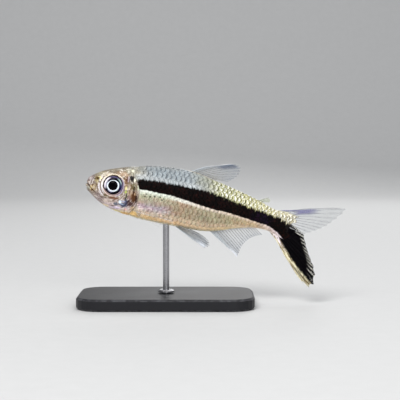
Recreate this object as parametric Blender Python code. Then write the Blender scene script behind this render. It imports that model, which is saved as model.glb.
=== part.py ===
"""A life-size display model of a penguin tetra, swimming head up over a small stand.

The fish is drawn straight first, in millimetres: "along" runs from the snout to the tail, "side"
to the fish's right (+Y) and "height" upwards. Every piece is then bent into the swimming pose and
turned into metres. In the posed model +Z is up, the head points to -X, and the origin lies under
the rod, on the surface that the stand rests on.
"""

import math

import bmesh
import bpy
import numpy as np
from mathutils import Vector

MM = 0.001

# The fish as a whole
STANDARD_LENGTH = 50.0
JOINT_GAP = 0.3
SNOUT_AT = (-19.8, 0.0, 30.0)
HEAD_PITCH = 8.0
TAIL_PITCH = 24.0
PITCH_POWER = 4.0

# Landmarks of the body: distance from the snout, height of the back, height of the belly, half width
BODY_LANDMARKS = {
    "snout tip": (0.0, 0.35, 0.35, 0.0),
    "lips": (0.09, 1.66, -0.62, 0.84),
    "upper jaw": (0.6, 2.4, -1.28, 1.32),
    "nostrils": (2.0, 3.4, -2.42, 1.78),
    "front of the eye": (4.4, 4.58, -4.0, 2.36),
    "back of the eye": (8.6, 5.82, -5.46, 2.94),
    "gill opening": (13.2, 6.86, -6.34, 3.28),
    "shoulder": (17.0, 7.38, -6.7, 3.44),
    "deepest point": (21.0, 7.55, -6.92, 3.44),
    "dorsal fin's first ray": (25.6, 7.3, -7.08, 3.18),
    "vent": (32.4, 5.86, -6.82, 2.5),
    "middle of the anal fin": (38.0, 4.58, -5.1, 1.9),
    "end of the anal fin": (44.2, 3.28, -3.3, 1.2),
    "narrowest part of the stalk": (47.4, 2.74, -2.98, 0.94),
    "tail fin's root": (50.0, 3.05, -3.25, 0.72),
}
WIDEST_HEIGHTS = {0.0: 0.35, 6.0: 0.4, 14.0: 0.8, 24.0: 0.6, 36.0: 0.1, 50.0: -0.1}
BACK_FULLNESS = 2.1
BELLY_FULLNESS = 2.3
BODY_RINGS = 54
BODY_SIDES = 32
RING_CROWDING = 1.35

# The head
EYE_AT = (6.7, 1.08)
EYE_RADIUS = 2.42
EYE_HALF_DEPTH = 1.05
EYE_SUNK = 0.72
LENS_RADIUS = 1.15
LENS_RISE = 0.14
MOUTH_TIP = (0.0, 0.75)
MOUTH_CORNER = (2.7, -1.55)
JAW_ROOT = (5.2, -5.4)
LIP_RADIUS = 0.26
LIP_TAPER = 0.45
LIP_SUNK = 0.08
UPPER_LIP_RAISED = 0.58
LOWER_LIP_DROPPED = 0.3
LOWER_LIP_AHEAD = 0.3
NOSTRILS = ((1.95, 2.05, 0.3), (2.75, 2.3, 0.36))
GILL_MARGIN = ((11.3, 4.7), (11.9, 3.5), (12.9, 2.0), (13.3, 0.2), (13.2, -1.8), (12.7, -3.7), (11.6, -5.2))
CHEEK_MARGIN = ((10.3, -5.1), (10.5, -3.4), (10.75, -1.2), (10.7, 0.8), (10.3, 2.6), (10.3, 4.2))
COVER_RISE = 0.18
COVER_DEPTH = 0.85
COVER_INNER_SIDE = 0.5
COVER_BODY_END = 18.0

# The cut between the trunk and the stalk of the tail, and sizes that reach past the whole body
STALK_CUT = 44.9
FAR = 12.0
WIDE = 6.0

# Fins: each ray stands out as a ridge on both faces of the membrane. Tips run from the first ray on
MEMBRANE_THICKNESS = 0.5
RAY_ROOT_THICKNESS = 0.86
RAY_TIP_THICKNESS = 0.56
MEMBRANE_NOTCH = 0.25
COLUMNS_A_RAY = 3
FIRST_RAY_SHARE = 0.62
DORSAL_RAYS = 11
DORSAL_BASE = (25.9, 31.9)
DORSAL_TIPS = ((34.5, 10.85), (36.6, 10.5), (36.5, 8.5), (34.5, 6.4))
ADIPOSE_RAYS = 5
ADIPOSE_BASE = (42.9, 44.1)
ADIPOSE_TIPS = ((44.6, 4.95), (45.3, 4.5), (45.2, 3.9))
ANAL_RAYS = 17
ANAL_BASE = (33.0, 44.3)
ANAL_TIPS = ((41.4, -11.7), (41.7, -9.0), (43.4, -6.1), (46.0, -4.4))
PELVIC_RAYS = 8
PELVIC_BASE = (24.2, 25.5)
PELVIC_ROOT_SIDES = (0.9, 1.5)
PELVIC_TIPS = ((31.8, 2.6, -10.9), (33.0, 3.1, -10.0), (31.8, 3.3, -8.9), (29.6, 3.0, -8.0))
PECTORAL_RAYS = 11
PECTORAL_BASE = ((13.95, -4.3), (14.35, -5.4))
PECTORAL_TIPS = ((22.6, 4.5, -5.2), (23.2, 4.75, -6.0), (21.8, 4.6, -7.0), (19.6, 4.2, -7.5))
TAIL_SMALL_RAYS = 3
TAIL_SMALL_BASE = (48.6, 49.7)
TAIL_SMALL_REACH = (0.13, 0.42)
TAIL_SMALL_ASIDE = 0.28
TAIL_UPPER_BOW = 0.8
TAIL_LOWER_BOW = 1.0
TAIL_UPPER_RAYS = 10
TAIL_UPPER_TIPS = ((61.6, 9.55), (63.0, 9.9), (62.4, 7.9), (59.6, 3.5), (56.0, 0.3))
TAIL_LOWER_RAYS = 9
TAIL_LOWER_TIPS = ((60.2, -11.1), (63.2, -11.6), (63.0, -8.8), (59.6, -4.6), (56.0, -0.35))

# The stand
ROD_RADIUS = 0.8
ROD_SIDES = 20
ROD_DEPTH_IN_BELLY = 1.6
FLANGE_RADIUS = 2.0
FLANGE_THICKNESS = 0.6
BASE_LENGTH = 44.0
BASE_WIDTH = 25.0
BASE_THICKNESS = 3.0
BASE_CORNER = 6.0
BASE_CHAMFER = 0.5
BASE_SOCKET_DEPTH = 1.8


# Curves and the straight fish


def smooth_curve(knots, values):
    """Gives a function that follows a natural cubic spline through the values at the knots."""
    x = np.array(knots, float)
    y = np.array(values, float)
    step = np.diff(x)
    slope = np.diff(y) / step
    system = np.eye(len(x))
    right = np.zeros(len(x))
    for i in range(1, len(x) - 1):
        system[i, i - 1 : i + 2] = step[i - 1], 2 * (step[i - 1] + step[i]), step[i]
        right[i] = 6 * (slope[i] - slope[i - 1])
    bend = np.linalg.solve(system, right)

    def at(place):
        i = int(np.clip(np.searchsorted(x, place) - 1, 0, len(step) - 1))
        h = step[i]
        after = x[i + 1] - place
        before = place - x[i]
        curved = (bend[i] * after**3 + bend[i + 1] * before**3) / (6 * h)
        start = (y[i] / h - bend[i] * h / 6) * after
        end = (y[i + 1] / h - bend[i + 1] * h / 6) * before
        return float(curved + start + end)

    return at


LANDMARKS = list(BODY_LANDMARKS.values())
# The snout is round, so the outline follows the square root of the distance behind it.
ROOTS = [math.sqrt(mark[0]) for mark in LANDMARKS]
BACK_CURVE = smooth_curve(ROOTS, [mark[1] for mark in LANDMARKS])
BELLY_CURVE = smooth_curve(ROOTS, [mark[2] for mark in LANDMARKS])
WIDTH_CURVE = smooth_curve(ROOTS, [mark[3] for mark in LANDMARKS])
WIDEST_CURVE = smooth_curve(list(WIDEST_HEIGHTS), list(WIDEST_HEIGHTS.values()))


def back_height(along):
    return BACK_CURVE(math.sqrt(along))


def belly_height(along):
    return BELLY_CURVE(math.sqrt(along))


def half_width(along):
    return WIDTH_CURVE(math.sqrt(along))


def signed_power(value, power):
    return math.copysign(abs(value) ** power, value)


def skin_point(along, turn, grow=0.0):
    """A point of the straight fish's skin. A turn of 0 is the right flank and 90 degrees the back."""
    middle = WIDEST_CURVE(along)
    side = signed_power(math.cos(turn), 2 / BELLY_FULLNESS)
    rise = math.sin(turn)
    if rise >= 0:
        reach = back_height(along) + grow - middle
        height = middle + reach * rise ** (2 / BACK_FULLNESS)
    else:
        reach = middle - belly_height(along) + grow
        height = middle - reach * (-rise) ** (2 / BELLY_FULLNESS)
    return Vector((along, side * (half_width(along) + grow), height))


def turn_at_height(along, height):
    """The turn, on the right flank, at which the skin has this height."""
    middle = WIDEST_CURVE(along)
    if height >= middle:
        share = (height - middle) / (back_height(along) - middle)
        return math.asin(min(1.0, share) ** (BACK_FULLNESS / 2))
    share = (middle - height) / (middle - belly_height(along))
    return -math.asin(min(1.0, share) ** (BELLY_FULLNESS / 2))


def turn_at_side(along, side):
    """The turn, on the right half of the belly, at which the skin is this far from the middle."""
    return -math.acos((side / half_width(along)) ** (BELLY_FULLNESS / 2))


def lifted_point(along, turn, sign, lift):
    """A point of one side, lifted off the skin along its normal, and that normal."""
    small = 0.02
    point = skin_point(along, turn)
    ahead = skin_point(along + small, turn) - point
    around = skin_point(along, turn + small) - point
    normal = ahead.cross(around).normalized()
    if normal.y < 0:
        normal = -normal
    point = point + normal * lift
    return Vector((point.x, point.y * sign, point.z)), Vector((normal.x, normal.y * sign, normal.z))


def flank_point(along, height, sign, lift=0.0):
    return lifted_point(along, turn_at_height(along, height), sign, lift)


# The swimming pose


def pitch_at(along):
    share = min(along / STANDARD_LENGTH, 1.0)
    return math.radians(HEAD_PITCH + (TAIL_PITCH - HEAD_PITCH) * share**PITCH_POWER)


def heading(along):
    """The direction in which the fish's axis runs towards the tail."""
    pitch = pitch_at(along)
    return Vector((math.cos(pitch), 0.0, -math.sin(pitch)))


AXIS_STEP = 0.1
AXIS_LENGTH = 70.0


def axis_points():
    """Points of the bent axis, one for each step from the snout to past the tail fin's tips."""
    points = [Vector(SNOUT_AT)]
    steps = int(AXIS_LENGTH / AXIS_STEP)
    for i in range(steps):
        points.append(points[-1] + heading((i + 0.5) * AXIS_STEP) * AXIS_STEP)
    return points


AXIS = axis_points()
SIDEWAYS = Vector((0.0, 1.0, 0.0))


def posed(point):
    """Where a point of the straight fish lies in the posed one."""
    along = max(point[0], 0.0)
    ahead_of_snout = min(point[0], 0.0)
    index = int(along / AXIS_STEP)
    backward = heading(along)
    upward = backward.cross(SIDEWAYS)
    start = AXIS[index] + heading(index * AXIS_STEP) * (along - index * AXIS_STEP)
    return start + backward * ahead_of_snout + SIDEWAYS * point[1] + upward * point[2]


# Meshes and Booleans


def material(name, colour, roughness, metallic=0.0, alpha=1.0):
    made = bpy.data.materials.new(name)
    made.use_nodes = True
    shader = made.node_tree.nodes["Principled BSDF"]
    shader.inputs["Base Color"].default_value = (*colour, 1.0)
    shader.inputs["Roughness"].default_value = roughness
    shader.inputs["Metallic"].default_value = metallic
    shader.inputs["Alpha"].default_value = alpha
    return made


def new_object(name, points, faces, finish=None):
    """An object from points and faces, in millimetres, with its normals pointing out."""
    mesh = bpy.data.meshes.new(name)
    mesh.from_pydata([tuple(p) for p in points], [], faces)
    shape = bmesh.new()
    shape.from_mesh(mesh)
    bmesh.ops.recalc_face_normals(shape, faces=shape.faces)
    shape.to_mesh(mesh)
    shape.free()
    made = bpy.data.objects.new(name, mesh)
    bpy.context.scene.collection.objects.link(made)
    if finish:
        mesh.materials.append(finish)
    return made


def combine(target, other, operation):
    """Applies one Boolean to the target and removes the other object."""
    modifier = target.modifiers.new(operation, "BOOLEAN")
    modifier.operation = operation
    modifier.solver = "EXACT"
    modifier.object = other
    graph = bpy.context.evaluated_depsgraph_get()
    mesh = bpy.data.meshes.new_from_object(target.evaluated_get(graph))
    target.modifiers.clear()
    target.data = mesh
    bpy.data.objects.remove(other)
    keep_largest(target)


def pieces_of(shape):
    """The connected pieces of a bmesh, each as a list of its faces."""
    waiting = set(shape.faces)
    pieces = []
    while waiting:
        piece = []
        edge_of_search = [waiting.pop()]
        while edge_of_search:
            face = edge_of_search.pop()
            piece.append(face)
            for edge in face.edges:
                for other in edge.link_faces:
                    if other in waiting:
                        waiting.remove(other)
                        edge_of_search.append(other)
        pieces.append(piece)
    return pieces


def keep_largest(obj):
    """Drops every loose scrap that a Boolean left beside an object's main body."""
    shape = bmesh.new()
    shape.from_mesh(obj.data)
    pieces = sorted(pieces_of(shape), key=lambda faces: sum(face.calc_area() for face in faces))
    for piece in pieces[:-1]:
        bmesh.ops.delete(shape, geom=piece, context="FACES")
    shape.to_mesh(obj.data)
    shape.free()


def duplicate(obj, name):
    copy = obj.copy()
    copy.data = obj.data.copy()
    copy.name = name
    bpy.context.scene.collection.objects.link(copy)
    return copy


def finish_node(obj, finish, bend=True):
    """Triangulates a node, bends it into the pose, turns it into metres and gives it its material."""
    shape = bmesh.new()
    shape.from_mesh(obj.data)
    bmesh.ops.dissolve_degenerate(shape, dist=0.002, edges=shape.edges)
    bmesh.ops.triangulate(shape, faces=shape.faces)
    for vertex in shape.verts:
        place = posed(vertex.co) if bend else vertex.co
        vertex.co = place * MM
    shape.to_mesh(obj.data)
    shape.free()
    obj.data.materials.clear()
    obj.data.materials.append(finish)
    obj.data.shade_smooth()
    obj.data.set_sharp_from_angle(angle=math.radians(40))


def prism(name, outline, low_side, high_side):
    """A block with an outline of (along, height) points, between two distances to the side."""
    count = len(outline)
    points = [(x, side, z) for side in (low_side, high_side) for x, z in outline]
    faces = [list(range(count)), list(range(count, 2 * count))]
    faces += [(i, (i + 1) % count, count + (i + 1) % count, count + i) for i in range(count)]
    made = new_object(name, points, faces)
    shape = bmesh.new()
    shape.from_mesh(made.data)
    bmesh.ops.triangulate(shape, faces=shape.faces)
    shape.to_mesh(made.data)
    shape.free()
    return made


def turned(name, profile, sides, centre=(0, 0, 0), axis=(0, 0, 1), finish=None):
    """A closed turned piece. Its profile holds (radius, height) pairs from one pole to the other."""
    points = [(0.0, 0.0, profile[0][1])]
    for radius, height in profile[1:-1]:
        for k in range(sides):
            angle = 2 * math.pi * k / sides
            points.append((radius * math.cos(angle), radius * math.sin(angle), height))
    points.append((0.0, 0.0, profile[-1][1]))
    last = len(points) - 1
    faces = []
    for k in range(sides):
        after = (k + 1) % sides
        faces.append((0, 1 + after, 1 + k))
        for ring in range(len(profile) - 3):
            low = 1 + ring * sides
            high = low + sides
            faces.append((low + k, low + after, high + after, high + k))
        top = last - sides
        faces.append((last, top + k, top + after))
    tilt = Vector((0, 0, 1)).rotation_difference(Vector(axis)).to_matrix()
    points = [tilt @ Vector(p) + Vector(centre) for p in points]
    return new_object(name, points, faces, finish)


# The body


def ring_places():
    """Distances from the snout of the body's rings, closest together on the snout."""
    return [STANDARD_LENGTH * (i / BODY_RINGS) ** RING_CROWDING for i in range(1, BODY_RINGS + 1)]


def whole_body(name, grow=0.0, closed_end=STANDARD_LENGTH):
    """The whole straight fish without its fins, from the snout to the tail fin's root."""
    points = [skin_point(0.0, 0.0) - Vector((grow, 0, 0))]
    places = [place for place in ring_places() if place <= closed_end]
    for place in places:
        for k in range(BODY_SIDES):
            points.append(skin_point(place, 2 * math.pi * (k + 0.5) / BODY_SIDES, grow))
    faces = []
    for k in range(BODY_SIDES):
        after = (k + 1) % BODY_SIDES
        faces.append((0, 1 + k, 1 + after))
        for ring in range(len(places) - 1):
            low = 1 + ring * BODY_SIDES
            high = low + BODY_SIDES
            faces.append((low + k, high + k, high + after, low + after))
    last = 1 + (len(places) - 1) * BODY_SIDES
    faces.append(list(range(last, last + BODY_SIDES)))
    return new_object(name, points, faces)


def smooth_line(points, count):
    """Evenly spread points of a smooth curve through a few given ones."""
    knots = [0.0]
    for start, end in zip(points, points[1:]):
        knots.append(knots[-1] + math.dist(start, end))
    curves = [smooth_curve(knots, [point[i] for point in points]) for i in range(len(points[0]))]
    return [tuple(curve(knots[-1] * k / (count - 1)) for curve in curves) for k in range(count)]


def gill_line(shift=0.0, count=15):
    """The rear margin of the gill cover, from the nape to the throat, moved back by a shift."""
    line = smooth_line(GILL_MARGIN, count)
    return [(x + shift, z) for x, z in line]


def head_outline():
    line = gill_line()
    top = (line[0][0] + 0.9, FAR)
    bottom = (line[-1][0] - 1.2, -FAR)
    return [(-FAR, FAR), top, *line, bottom, (-FAR, -FAR)]


def trunk_outline():
    line = gill_line(JOINT_GAP)
    top = (line[0][0] + 0.9, FAR)
    bottom = (line[-1][0] - 1.2, -FAR)
    return [bottom, *reversed(line), top, (STALK_CUT, FAR), (STALK_CUT, -FAR)]


def jaw_outline(grow=0.0):
    """The lower jaw's outline. With grow, it takes in the slit of the mouth and the jaw's seam too."""
    tip = Vector(MOUTH_TIP)
    corner = Vector(MOUTH_CORNER)
    root = Vector(JAW_ROOT)
    along_mouth = (corner - tip).normalized()
    over_mouth = Vector((-along_mouth.y, along_mouth.x))
    down_seam = (root - corner).normalized()
    behind_seam = Vector((-down_seam.y, down_seam.x))
    behind_corner = (over_mouth + behind_seam).normalized()
    grown_corner = corner + behind_corner * grow / behind_corner.dot(over_mouth)
    return [
        tuple(tip - along_mouth * FAR + over_mouth * grow),
        tuple(grown_corner),
        tuple(root + behind_seam * grow),
        tuple(root + down_seam * FAR + behind_seam * grow),
        (-FAR, -FAR),
    ]


def lip(name, raised, ahead=0.0):
    """A bead that runs from one corner of the mouth to the other, raised above the slit's middle line."""
    count = 15
    sides = 8
    line = []
    for k in range(count):
        share = abs(2 * k / (count - 1) - 1)
        sign = 1 if k < count / 2 else -1
        x = 0.05 + (MOUTH_CORNER[0] - 0.2) * share**1.6
        down = (x - MOUTH_TIP[0]) / (MOUTH_CORNER[0] - MOUTH_TIP[0])
        z = MOUTH_TIP[1] + (MOUTH_CORNER[1] - MOUTH_TIP[1]) * down + raised
        point, _ = flank_point(x, z, sign, lift=-LIP_SUNK)
        if k == count // 2:
            point.y = 0.0
        point.x -= ahead * (1 - share)
        line.append(point)
    points = []
    for k, centre in enumerate(line):
        ahead_of_it = line[min(k + 1, count - 1)] - line[max(k - 1, 0)]
        ahead_of_it.normalize()
        up = Vector((0, 0, 1))
        first = (up - ahead_of_it * up.dot(ahead_of_it)).normalized()
        second = ahead_of_it.cross(first)
        radius = LIP_RADIUS * (1 - LIP_TAPER * (2 * k / (count - 1) - 1) ** 2)
        for side in range(sides):
            angle = 2 * math.pi * side / sides
            points.append(centre + (first * math.cos(angle) + second * math.sin(angle)) * radius)
    faces = [list(range(sides)), list(range((count - 1) * sides, count * sides))]
    for k in range(count - 1):
        for side in range(sides):
            after = (side + 1) % sides
            low = k * sides
            faces.append((low + side, low + after, low + sides + after, low + sides + side))
    return new_object(name, points, faces)


def eye_frame(sign):
    """The centre of an eye and the way it looks out."""
    point, normal = flank_point(*EYE_AT, sign)
    return point - normal * EYE_SUNK, normal


def eye_profile(grow=0.0):
    """Half an outline of the eye, from its back to the front of the cornea."""
    steps = 12
    profile = []
    for k in range(steps + 1):
        angle = math.pi * k / steps - math.pi / 2
        radius = (EYE_RADIUS + grow) * math.cos(angle)
        height = (EYE_HALF_DEPTH + grow) * math.sin(angle)
        if grow == 0 and angle > 0:
            height += LENS_RISE * max(0.0, 1 - (radius / LENS_RADIUS) ** 2)
        profile.append((radius, height))
    return profile


def cover_outline(grow=0.0):
    """The outline of one gill cover. With grow, it is the pocket in the head that holds the cover."""
    cheek = [(x - grow, z) for x, z in smooth_line(CHEEK_MARGIN, 9)]
    if grow:
        rear = [(x + 3.0, z) for x, z in gill_line(count=9)]
    else:
        rear = gill_line(count=13)
    rear[0] = (rear[0][0], rear[0][1] + grow)
    rear[-1] = (rear[-1][0], rear[-1][1] - grow)
    cheek[0] = (cheek[0][0], cheek[0][1] - grow)
    cheek[-1] = (cheek[-1][0], cheek[-1][1] + grow)
    return [*rear, *cheek]


def build_gill_cover(sign, finish):
    """One gill cover: a thin curved plate over the side of the head, a little proud of the skin."""
    name = "gill_cover_right" if sign > 0 else "gill_cover_left"
    cover = whole_body(name, grow=COVER_RISE, closed_end=COVER_BODY_END)
    inner = COVER_INNER_SIDE * sign
    block = prism("cover_block", cover_outline(), *sorted((inner, WIDE * sign)))
    combine(cover, block, "INTERSECT")
    combine(cover, whole_body("cover_core", grow=-COVER_DEPTH, closed_end=COVER_BODY_END), "DIFFERENCE")
    finish_node(cover, finish)


def build_head(body, finish):
    head = duplicate(body, "head")
    combine(head, prism("head_block", head_outline(), -WIDE, WIDE), "INTERSECT")
    for sign in (-1, 1):
        centre, normal = eye_frame(sign)
        socket = turned("socket", eye_profile(JOINT_GAP), 28, centre, normal)
        combine(head, socket, "DIFFERENCE")
        inner = (COVER_INNER_SIDE - JOINT_GAP) * sign
        pocket = prism("pocket", cover_outline(JOINT_GAP), *sorted((inner, WIDE * sign)))
        core = whole_body("pocket_core", grow=-COVER_DEPTH - JOINT_GAP, closed_end=COVER_BODY_END)
        combine(pocket, core, "DIFFERENCE")
        combine(head, pocket, "DIFFERENCE")
    combine(head, prism("mouth", jaw_outline(JOINT_GAP), -WIDE, WIDE), "DIFFERENCE")
    combine(head, lip("upper_lip", UPPER_LIP_RAISED), "UNION")
    for along, height, radius in NOSTRILS:
        for sign in (-1, 1):
            point, normal = flank_point(along, height, sign, lift=0.05)
            pit = turned("nostril", ball_profile(radius), 8, point, normal)
            combine(head, pit, "DIFFERENCE")
    finish_node(head, finish)


def ball_profile(radius, steps=6):
    angles = [math.pi * k / steps - math.pi / 2 for k in range(steps + 1)]
    return [(radius * math.cos(a), radius * math.sin(a)) for a in angles]


def build_lower_jaw(body, finish):
    jaw = duplicate(body, "lower_jaw")
    combine(jaw, prism("jaw_block", jaw_outline(), -WIDE, WIDE), "INTERSECT")
    combine(jaw, lip("lower_lip", -LOWER_LIP_DROPPED, LOWER_LIP_AHEAD), "UNION")
    finish_node(jaw, finish)


def build_eye(sign, finish):
    centre, normal = eye_frame(sign)
    name = "eye_right" if sign > 0 else "eye_left"
    eye = turned(name, eye_profile(), 24, centre, normal)
    finish_node(eye, finish)


def build_trunk(body, finish):
    """The trunk, from the gill opening to the end of the anal fin, with the rod's socket in the belly."""
    trunk = duplicate(body, "trunk")
    combine(trunk, prism("trunk_block", trunk_outline(), -WIDE, WIDE), "INTERSECT")
    finish_node(trunk, finish)
    socket = turned("rod_socket", rod_profile(JOINT_GAP), ROD_SIDES)
    for vertex in socket.data.vertices:
        vertex.co = vertex.co * MM
    combine(trunk, socket, "DIFFERENCE")


def build_stalk(body, finish):
    stalk = duplicate(body, "tail_stalk")
    start = STALK_CUT + JOINT_GAP
    block = [(start, FAR), (start, -FAR), (STANDARD_LENGTH + FAR, -FAR), (STANDARD_LENGTH + FAR, FAR)]
    combine(stalk, prism("stalk_block", block, -WIDE, WIDE), "INTERSECT")
    finish_node(stalk, finish)


# Fins


def ray_line(root, tip, bow, count):
    """Points of one fin ray from its root to its tip, bowed sideways by a vector at its middle."""
    middle = (root + tip) / 2 + bow
    line = []
    for k in range(count):
        t = k / (count - 1)
        line.append(root * (1 - t) ** 2 + middle * 2 * t * (1 - t) + tip * t**2)
    return line


def fin_columns(rays):
    """The rays with the membrane between them, as (points, share of a ray) columns across the fin."""
    columns = []
    for index, ray in enumerate(rays):
        columns.append((ray, 1.0))
        if index == len(rays) - 1:
            break
        following = rays[index + 1]
        for part in range(1, COLUMNS_A_RAY):
            share = part / COLUMNS_A_RAY
            between = [a.lerp(b, share) for a, b in zip(ray, following)]
            between[-1] = between[-1].lerp(between[-2], MEMBRANE_NOTCH)
            columns.append((between, 0.0))
    return columns


def build_fin(name, rays, normal, finish, thin=1.0):
    """A closed fin whose rays are ridges on both faces, split into triangles alike on both of them."""
    columns = fin_columns(rays)
    rows = len(rays[0])
    points = []
    for sign in (1, -1):
        for line, ray_share in columns:
            for row, point in enumerate(line):
                t = row / (rows - 1)
                ray = RAY_ROOT_THICKNESS + (RAY_TIP_THICKNESS - RAY_ROOT_THICKNESS) * t
                thickness = MEMBRANE_THICKNESS + (ray - MEMBRANE_THICKNESS) * ray_share
                points.append(point + normal * (sign * thickness * thin / 2))
    half = len(columns) * rows
    faces = []
    for c in range(len(columns) - 1):
        for r in range(rows - 1):
            near = c * rows + r
            far = near + rows
            for a, b, d in ((near, far, far + 1), (near, far + 1, near + 1)):
                faces.append((a, b, d))
                faces.append((half + a, half + d, half + b))
    for c in range(len(columns) - 1):
        for r in (0, rows - 1):
            a = c * rows + r
            b = a + rows
            faces += [(a, b, half + b), (a, half + b, half + a)]
    for c in (0, len(columns) - 1):
        for r in range(rows - 1):
            a = c * rows + r
            b = a + 1
            faces += [(a, b, half + b), (a, half + b, half + a)]
    finish_node(new_object(name, points, faces), finish)


def flat(along, height):
    return Vector((along, 0.0, height))


def on_side(point, sign):
    """A point of the right side, or its mirror image on the left one."""
    return Vector((point[0], point[1] * sign, point[2]))


def across_fin(rays):
    """The direction square to a fin that fans out from its first ray to its last."""
    return (rays[-1][-1] - rays[0][-1]).cross(rays[0][-1] - rays[0][0]).normalized()


def middle_fin_rays(base, root_height, outline, count, bow, rows):
    """The rays of a fin on the fish's middle line: a short first one, and the rest out to the outline."""
    tips = [flat(*tip) for tip in smooth_line(outline, count - 1)]
    rays = []
    for k in range(count):
        share = k / (count - 1)
        along = base[0] + (base[1] - base[0]) * share
        root = flat(along, root_height(along))
        tip = tips[k - 1] if k else root.lerp(tips[0], FIRST_RAY_SHARE) + bow * 0.15
        rays.append(ray_line(root, tip, bow * (1 - share), rows))
    return rays


def above_back(along):
    return back_height(along) + JOINT_GAP


def below_belly(along):
    return belly_height(along) - JOINT_GAP


def build_dorsal_fin(finish):
    """The dorsal fin, half folded back: long front rays, and short ones behind."""
    rays = middle_fin_rays(DORSAL_BASE, above_back, DORSAL_TIPS, DORSAL_RAYS, flat(0, 0.6), 7)
    build_fin("dorsal_fin", rays, SIDEWAYS, finish)


def build_adipose_fin(finish):
    """The small fleshy lobe between the dorsal fin and the tail fin."""
    rays = middle_fin_rays(ADIPOSE_BASE, above_back, ADIPOSE_TIPS, ADIPOSE_RAYS, flat(0, 0.12), 5)
    build_fin("adipose_fin", rays, SIDEWAYS, finish, thin=0.9)


def build_anal_fin(finish):
    """The anal fin: a pointed front lobe and a long low part that follows the belly's edge."""
    rays = middle_fin_rays(ANAL_BASE, below_belly, ANAL_TIPS, ANAL_RAYS, flat(0, -0.25), 6)
    build_fin("anal_fin", rays, SIDEWAYS, finish)


def build_pelvic_fin(sign, finish):
    """A pelvic fin, spread back and down from the belly, its tip out to the side."""
    tips = smooth_line(PELVIC_TIPS, PELVIC_RAYS)
    rays = []
    for k, tip in enumerate(tips):
        share = k / (PELVIC_RAYS - 1)
        along = PELVIC_BASE[0] + (PELVIC_BASE[1] - PELVIC_BASE[0]) * share
        side = PELVIC_ROOT_SIDES[0] + (PELVIC_ROOT_SIDES[1] - PELVIC_ROOT_SIDES[0]) * share
        root, _ = lifted_point(along, turn_at_side(along, side), sign, JOINT_GAP * 1.5)
        rays.append(ray_line(root, on_side(tip, sign), Vector((0, 0, -0.3 * (1 - share))), 6))
    name = "pelvic_fin_right" if sign > 0 else "pelvic_fin_left"
    build_fin(name, rays, across_fin(rays), finish, thin=0.9)


def build_pectoral_fin(sign, finish):
    """A pectoral fin, folded back along the flank with its tip a little away from the body."""
    tips = smooth_line(PECTORAL_TIPS, PECTORAL_RAYS)
    rays = []
    for k, tip in enumerate(tips):
        share = k / (PECTORAL_RAYS - 1)
        along, height = (a + (b - a) * share for a, b in zip(*PECTORAL_BASE))
        root, _ = flank_point(along, height, sign, lift=JOINT_GAP + RAY_ROOT_THICKNESS * 0.4)
        rays.append(ray_line(root, on_side(tip, sign), Vector((0, sign * 0.35, 0.0)), 6))
    name = "pectoral_fin_right" if sign > 0 else "pectoral_fin_left"
    build_fin(name, rays, across_fin(rays), finish, thin=0.9)


def build_tail_lobe(name, sign, outline, count, edge_height, bow, finish):
    """One lobe of the forked tail fin, with the small rays that run up its leading edge."""
    root_along = STANDARD_LENGTH + JOINT_GAP
    outer_root = edge_height(STANDARD_LENGTH)
    tips = [flat(*tip) for tip in smooth_line(outline, count)]
    main_rays = []
    for k, tip in enumerate(tips):
        share = k / (count - 1)
        root = flat(root_along, outer_root * (1 - share) + sign * JOINT_GAP / 2 * share)
        main_rays.append(ray_line(root, tip, flat(0, sign * bow * (1 - share) ** 1.5), 8))
    leading = main_rays[0]
    outward = (leading[-1] - leading[0]).cross(SIDEWAYS).normalized()
    if outward.z * sign < 0:
        outward = -outward
    small_rays = []
    for k in range(TAIL_SMALL_RAYS):
        share = k / (TAIL_SMALL_RAYS - 1)
        along = TAIL_SMALL_BASE[0] + (TAIL_SMALL_BASE[1] - TAIL_SMALL_BASE[0]) * share
        reach = TAIL_SMALL_REACH[0] + (TAIL_SMALL_REACH[1] - TAIL_SMALL_REACH[0]) * share
        place = reach * (len(leading) - 1)
        beside = leading[int(place)].lerp(leading[int(place) + 1], place % 1)
        root = flat(along, edge_height(along))
        small_rays.append(ray_line(root, beside + outward * TAIL_SMALL_ASIDE, flat(0, 0), len(leading)))
    build_fin(name, small_rays + main_rays, SIDEWAYS, finish)


def build_upper_tail_lobe(finish):
    name = "tail_fin_upper"
    build_tail_lobe(name, 1, TAIL_UPPER_TIPS, TAIL_UPPER_RAYS, above_back, TAIL_UPPER_BOW, finish)


def build_lower_tail_lobe(finish):
    name = "tail_fin_lower"
    build_tail_lobe(name, -1, TAIL_LOWER_TIPS, TAIL_LOWER_RAYS, below_belly, TAIL_LOWER_BOW, finish)


# The stand


def belly_over_rod():
    """The height of the posed belly's midline right over the origin."""
    places = [posed((along / 10, 0.0, belly_height(along / 10))) for along in range(150, 260)]
    nearest = min(places, key=lambda place: abs(place.x))
    return nearest.z


def rod_profile(grow=0.0):
    """The turned rod, with a flange over the base. With grow, it is the plain hole for the rod."""
    top = belly_over_rod() + ROD_DEPTH_IN_BELLY
    radius = ROD_RADIUS + grow
    bottom = BASE_THICKNESS - BASE_SOCKET_DEPTH + JOINT_GAP
    if grow:
        start = top - WIDE
        return [(0, start), (radius, start), (radius, top + grow), (0, top + grow)]
    seat = BASE_THICKNESS + JOINT_GAP
    return [
        (0, bottom),
        (radius, bottom),
        (radius, seat),
        (FLANGE_RADIUS, seat),
        (FLANGE_RADIUS, seat + FLANGE_THICKNESS * 0.6),
        (FLANGE_RADIUS * 0.8, seat + FLANGE_THICKNESS),
        (radius, seat + FLANGE_THICKNESS),
        (radius, top),
        (0, top),
    ]


def build_rod(finish):
    rod = turned("stand_rod", rod_profile(), ROD_SIDES)
    finish_node(rod, finish, bend=False)


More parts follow.
